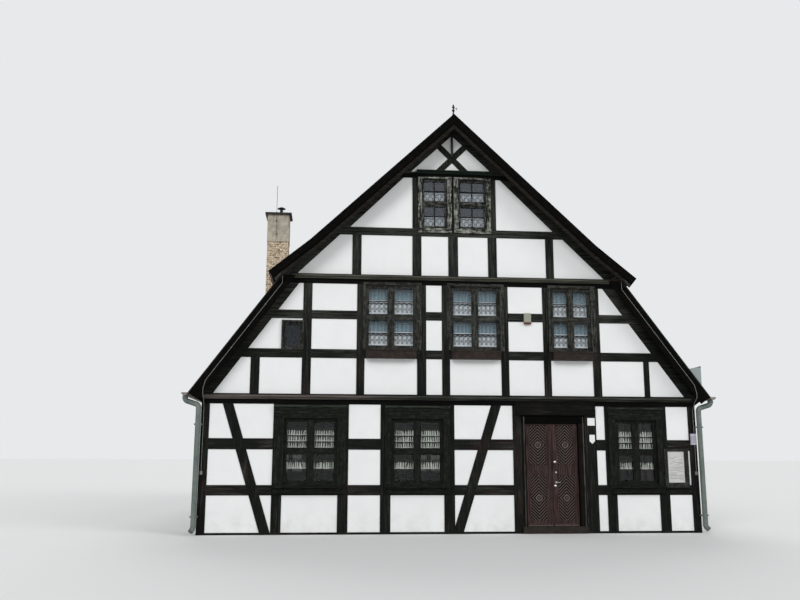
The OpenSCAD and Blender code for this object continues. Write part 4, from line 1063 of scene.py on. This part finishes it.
class HOUSE_OT_plates(bpy.types.Operator):
    """Screws the bare enamelled plates to the front"""

    bl_idname = "house.plates"
    bl_label = "Plates"

    def execute(self, context):
        sizes = context.scene.plate_sizes
        thick = sizes.thickness
        post_face, plaster_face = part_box("front_posts")[0].y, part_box("front_infill")[0].y
        x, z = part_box("door_frame")[1].x + PLATE_OFFSET, sizes.number_height
        half = sizes.number_side / 2
        screw_share, shield_shift, shoulder, tall_shield, tall_small = 0.84, 0.012, 0.28, 1.62, 1.36
        bm, screws = bmesh.new(), []
        square = [(x - half, z - half), (x + half, z - half), (x + half, z + half), (x - half, z + half)]
        sheet_metal(bm, square, post_face, thick)
        screws += [(x + side * half * screw_share, post_face - thick, z) for side in (-1, 1)]
        x, z = x + shield_shift, sizes.shield_height
        w, h = sizes.shield_width / 2, sizes.shield_width * tall_shield
        shield = [(-w, shoulder * h), (0, 0), (w, shoulder * h), (w, h), (-w, h)]
        sheet_metal(bm, [(x + across, z + up) for across, up in shield], post_face, thick)
        screws += [(x, post_face - thick, z + h * share) for share in (0.2, 0.88)]
        z, w, h = sizes.small_height, sizes.small_width / 2, sizes.small_width * tall_small
        for x in SMALL_PLATES:
            sheet_metal(bm, [(x - w, z), (x + w, z), (x + w, z + h), (x - w, z + h)], plaster_face, thick)
            screws += [(x + side * w * 0.8, plaster_face - thick, z + h / 2) for side in (-1, 1)]
        white = enamel("white_enamel", (0.78, 0.79, 0.79), (0.35, 0.33, 0.3))
        finish_piece(bm, "wall_plates", white)
        bm = bmesh.new()
        for x, y, z in screws:
            round_head(bm, (x, y - 0.0015, z), 12, 0.005, 0.003, 0.003)
        finish_piece(bm, "plate_screws", plain_metal("dull_screws", (0.4, 0.39, 0.37), 0.4))
        return {"FINISHED"}


class HOUSE_OT_notice(bpy.types.Operator):
    """Puts a ruled sheet and its pane into the notice case"""

    bl_idname = "house.notice"
    bl_label = "Notice sheet"

    def execute(self, context):
        low, high = recess_of("notice_board")
        edge, paper, pane, air = 0.012, 0.0006, 0.003, 0.02
        bm = bmesh.new()
        block(bm, (low.x + edge, low.y - paper, low.z + edge), (high.x - edge, low.y, high.z - edge))
        finish_piece(bm, "notice_sheet", ruled_paper())
        bm = bmesh.new()
        block(bm, (low.x, low.y - air, low.z), (high.x, low.y - air + pane, high.z), 0.0008)
        finish_piece(bm, "notice_pane", finish_of("window_glass"))
        return {"FINISHED"}


class HOUSE_OT_conductor(bpy.types.Operator):
    """Runs the lightning conductor down the gable's lower slopes and corner posts"""

    bl_idname = "house.conductor"
    bl_label = "Lightning conductor"

    def execute(self, context):
        sizes = context.scene.conductor_sizes
        radius, clamp = sizes.wire_radius, sizes.clamp_height
        clip_half, clip_out, post_clips, last_clip = 0.009, 0.004, (2.6, 2.0), 4.6
        clamp_foot, clamp_head, bolts = clamp - 0.045, clamp + 0.035, (-0.02, 0.015)
        off_ledge, on_wall, bend = 3.0, 2.86, 0.12
        wall, eave_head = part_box("front_posts")[0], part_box("roof_lower_left")[1].z + 0.2
        board = min(low.y for low, high in solids_of("verge_boards") if high.z < eave_head)
        slope_y, wall_y = board - radius, wall.y - sizes.stand_off
        ledge_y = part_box("weather_ledges")[0].y - radius - 0.002
        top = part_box("roof_upper_left")[0].z + 0.12
        bright, dark = bmesh.new(), bmesh.new()
        for side, hand in ((-1, "left"), (1, "right")):
            head, tip = outer_line("roof_lower_" + hand)
            run = Vector((tip[0] - head[0], tip[1] - head[1])).normalized()
            inward = Vector((run.y * side, -run.x * side))
            if inward.y > 0:
                inward = -inward
            start = Vector(head) + inward * sizes.inset
            post_x = side * (abs(wall.x) - sizes.post_inset)
            drop_x = outer_line("roof_upper_" + hand)[-1][0] - side * 0.3
            bend_x = post_x - side * 0.05

            def on_slope(x):
                return start.y + (x - start.x) * run.y / run.x

            clear = lowest_at("verge_boards", post_x) - radius * 2
            slope = [(drop_x, top), (drop_x, on_slope(drop_x)), (bend_x, on_slope(bend_x)),
                     (post_x, on_slope(post_x) - bend), (post_x, clear)]
            post = [(ledge_y, clear - bend), (ledge_y, off_ledge), (wall_y, on_wall), (wall_y, clamp)]
            points = [(x, slope_y, z) for x, z in slope] + [(post_x, y, z) for y, z in post]
            wire(bright, points, radius)
            for step in range(1, 5):
                x = drop_x + (post_x - drop_x) * step / last_clip
                z = on_slope(x)
                clip(bright, x, slope_y - clip_out, board, z - clip_half, z + clip_half)
            for z in post_clips:
                clip(bright, post_x, wall_y - radius, wall.y, z - clip_half, z + clip_half)
            clip(bright, post_x, wall_y - 0.014, wall.y, clamp_foot, clamp_head, 0.03, 0.004)
            for bolt in bolts:
                round_head(bright, (post_x, wall_y - 0.018, clamp + bolt), 6, 0.008, 0.008, 0.008)
            clip(dark, post_x, wall.y - clip_out, wall.y, 0.0, clamp_foot, bevel=0.001)
        bare_wire = plain_metal("conductor_wire", (0.22, 0.23, 0.22), 0.5, 0.4)
        finish_piece(bright, "conductor_wire", bare_wire)
        finish_piece(dark, "conductor_strap", finish_of("front_posts"))
        return {"FINISHED"}


def flower(bm, place):
    """A round carved flower facing -Y: a rim, eight petals and a button."""
    rim, tube, petals = 0.064, 0.0095, 8
    start = [bm.verts.new((rim + tube * math.cos(a), 0, tube * math.sin(a))) for a in (0, 1.05, 2.09, 3.14)]
    edges = [bm.edges.new(pair) for pair in zip(start, start[1:])]
    bmesh.ops.spin(
        bm, geom=start + edges, cent=(0, 0, 0), axis=(0, 0, 1), angle=math.tau, steps=36, use_merge=True)
    whole = {v for v in bm.verts if not v.tag}
    for index in range(petals):
        petal = bmesh.ops.create_uvsphere(bm, u_segments=10, v_segments=6, radius=1.0)["verts"]
        bmesh.ops.scale(bm, vec=(0.018, 0.011, 0.007), verts=petal)
        bmesh.ops.translate(bm, vec=(0.035, 0, 0), verts=petal)
        bmesh.ops.transform(bm, matrix=Matrix.Rotation(math.tau * index / petals, 4, "Z"), verts=petal)
        whole.update(petal)
    button = bmesh.ops.create_uvsphere(bm, u_segments=14, v_segments=8, radius=0.013)["verts"]
    bmesh.ops.translate(bm, vec=(0, 0, 0.002), verts=button)
    whole.update(button)
    bmesh.ops.transform(bm, matrix=Matrix.Translation(place) @ FACE_ON, verts=list(whole))
    for vert in whole:
        vert.tag = True


class HOUSE_OT_rosettes(bpy.types.Operator):
    """Sets a carved flower in the middle of each door field, and a stud on each middle rail"""

    bl_idname = "house.rosettes"
    bl_label = "Rosettes"

    def execute(self, context):
        wood = carved_flower(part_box("door_leaf_left")[0].y + WEATHER_BAR)
        for body, name in (("left_leaf", "door_leaf_left"), ("right_leaf", "door_leaf_right")):
            low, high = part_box(name)
            centre, face = (low.x + high.x) / 2, low.y + WEATHER_BAR - 0.002
            bm = bmesh.new()
            for height in ROSETTES:
                flower(bm, (centre, face, height))
            finish_piece(bm, body + "_rosettes", wood, body, smooth=True)
            bm = bmesh.new()
            bmesh.ops.create_uvsphere(bm, u_segments=16, v_segments=8, radius=0.014)
            bmesh.ops.scale(bm, vec=(1, 0.6, 1), verts=bm.verts)
            bmesh.ops.translate(bm, vec=(centre, face, sum(ROSETTES) / 2), verts=bm.verts)
            finish_piece(bm, body + "_stud", finish_of("finial"), body, smooth=True)
        return {"FINISHED"}


def joint_places(post, rail):
    """Where a peg holds a post and a rail that touch, given the low and high corners of both."""
    (pl, ph), (rl, rh) = post, rail
    inset, thinnest, touch = 0.04, 0.1, 0.004
    places = []
    if rh.z - rl.z < thinnest:
        return places
    for post_x, rail_x, side in ((ph.x, rl.x, -1), (pl.x, rh.x, 1)):
        if abs(post_x - rail_x) < touch and pl.z < rl.z and rh.z < ph.z:
            places.append((post_x + side * inset, (rl.z + rh.z) / 2))
    for post_z, rail_z, side in ((ph.z, rl.z, 1), (pl.z, rh.z, -1)):
        if abs(post_z - rail_z) < touch and rl.x - 0.001 < pl.x and ph.x < rh.x + 0.001:
            places.append(((pl.x + ph.x) / 2, post_z + side * inset))
    return places


class HOUSE_OT_pegs(bpy.types.Operator):
    """Drives an oak peg into each joint of the two gables' frames"""

    bl_idname = "house.pegs"
    bl_label = "Pegs"

    def execute(self, context):
        rand = random.Random(3)
        bm = bmesh.new()
        for gable, out in (("front", -1), ("back", 1)):
            posts, rails = solids_of(gable + "_posts"), solids_of(gable + "_rails")
            face = posts[0][0 if out < 0 else 1].y + out * 0.001
            for post in posts:
                for rail in rails:
                    for x, z in joint_places(post, rail):
                        turn = Matrix.Rotation(rand.random() * math.pi, 4, "Y") @ FACE_ON
                        round_head(bm, (x, face, z + rand.gauss(0, 0.004)), 8, 0.013, 0.012, 0.01, turn)
        finish_piece(bm, "oak_pegs", finish_of("front_posts"))
        return {"FINISHED"}


# Stage


class HOUSE_OT_stage(bpy.types.Operator):
    """Sets up the pale floor, the soft light and the camera"""

    bl_idname = "house.stage"
    bl_label = "Stage"

    def execute(self, context):
        scene = context.scene
        view = scene.stage_view
        bm = bmesh.new()
        bmesh.ops.create_grid(bm, x_segments=1, y_segments=1, size=400.0)
        bmesh.ops.translate(bm, vec=(0, 0, -0.001), verts=bm.verts)
        mesh = bpy.data.meshes.new("floor")
        bm.to_mesh(mesh)
        bm.free()
        pale = (0.74, 0.74, 0.735, 1.0)
        card = Paint("floor_card", 0.1, Roughness=0.95, Base_Color=pale)
        mesh.materials.append(card.material)
        floor = bpy.data.objects.new("floor", mesh)
        scene.collection.objects.link(floor)

        scene.world = bpy.data.worlds.new("backdrop")
        scene.world.use_nodes = True
        tree = scene.world.node_tree
        sky, surface = tree.nodes["Background"], tree.nodes["World Output"].inputs["Surface"]
        kinds = ("Background", "LightPath", "MixShader", "Math")
        plain, path, mix, seen = (tree.nodes.new("ShaderNode" + kind) for kind in kinds)
        seen.operation = "MAXIMUM"
        sky.inputs["Color"].default_value = (0.86, 0.88, 0.9, 1.0)
        sky.inputs["Strength"].default_value = 0.54
        plain.inputs["Color"].default_value = (0.8, 0.815, 0.83, 1.0)
        for output, socket in (
            (path.outputs["Is Camera Ray"], seen.inputs[0]),
            (path.outputs["Is Glossy Ray"], seen.inputs[1]),
            (seen.outputs[0], mix.inputs[0]),
            (sky.outputs[0], mix.inputs[1]),
            (plain.outputs[0], mix.inputs[2]),
            (mix.outputs[0], surface),
        ):
            tree.links.new(output, socket)

        for name, energy, tilt, turn, angle in (
            ("key", 1.25, 62, -28, 26), ("fill", 0.85, 62, 52, 30), ("back", 1.1, 50, 175, 40),
        ):
            lamp = bpy.data.lights.new(name, "SUN")
            lamp.energy = energy
            lamp.angle = math.radians(angle)
            holder = bpy.data.objects.new(name, lamp)
            holder.rotation_euler = (math.radians(tilt), 0, math.radians(turn))
            holder.location = (0, 0, 20)
            scene.collection.objects.link(holder)

        lens = bpy.data.cameras.new("camera")
        lens.lens = view.focal
        lens.sensor_width = 36.0
        lens.sensor_fit = "HORIZONTAL"
        lens.clip_end = 1000.0
        camera = bpy.data.objects.new("camera", lens)
        turn = Matrix.Rotation(-view.yaw, 4, "Z") @ Matrix.Rotation(math.pi / 2 + view.pitch, 4, "X")
        camera.matrix_world = Matrix.Translation(view.place) @ turn @ Matrix.Rotation(view.roll, 4, "Z")
        scene.collection.objects.link(camera)
        scene.camera = camera
        scene.view_settings.view_transform = "Standard"
        return {"FINISHED"}


OPERATORS = (
    HOUSE_OT_finishes, HOUSE_OT_roof_tiles, HOUSE_OT_ridge_tiles, HOUSE_OT_glazing_bars, HOUSE_OT_lace,
    HOUSE_OT_plates, HOUSE_OT_notice, HOUSE_OT_conductor, HOUSE_OT_rosettes, HOUSE_OT_pegs, HOUSE_OT_stage,
)
GROUPS = {
    "finish_colours": FINISH_PG_colours,
    "roof_sizes": ROOF_PG_sizes,
    "window_sizes": WINDOW_PG_sizes,
    "plate_sizes": PLATE_PG_sizes,
    "conductor_sizes": CONDUCTOR_PG_sizes,
    "stage_view": STAGE_PG_view,
}


class HOUSE_PT_panel(bpy.types.Panel):
    """Lists the pieces and their sizes"""

    bl_idname = "HOUSE_PT_panel"
    bl_label = "Half Timbered House"
    bl_space_type = "VIEW_3D"
    bl_region_type = "UI"
    bl_category = "House"

    def draw(self, context):
        for name, group in GROUPS.items():
            box = self.layout.box()
            for field in group.__annotations__:
                box.prop(getattr(context.scene, name), field)
        for operator in OPERATORS:
            self.layout.operator(operator.bl_idname)


def register():
    for cls in (*GROUPS.values(), *OPERATORS, HOUSE_PT_panel):
        bpy.utils.register_class(cls)
    for name, group in GROUPS.items():
        setattr(bpy.types.Scene, name, bpy.props.PointerProperty(type=group))


def unregister():
    for name in GROUPS:
        delattr(bpy.types.Scene, name)
    for cls in reversed((*GROUPS.values(), *OPERATORS, HOUSE_PT_panel)):
        bpy.utils.unregister_class(cls)


def main():
    register()
    bpy.ops.house.finishes()
    bpy.ops.house.roof_tiles()
    bpy.ops.house.ridge_tiles()
    bpy.ops.house.glazing_bars()
    bpy.ops.house.lace()
    bpy.ops.house.plates()
    bpy.ops.house.notice()
    bpy.ops.house.conductor()
    bpy.ops.house.rosettes()
    bpy.ops.house.pegs()
    bpy.ops.house.stage()


if __name__ == "__main__":
    main()
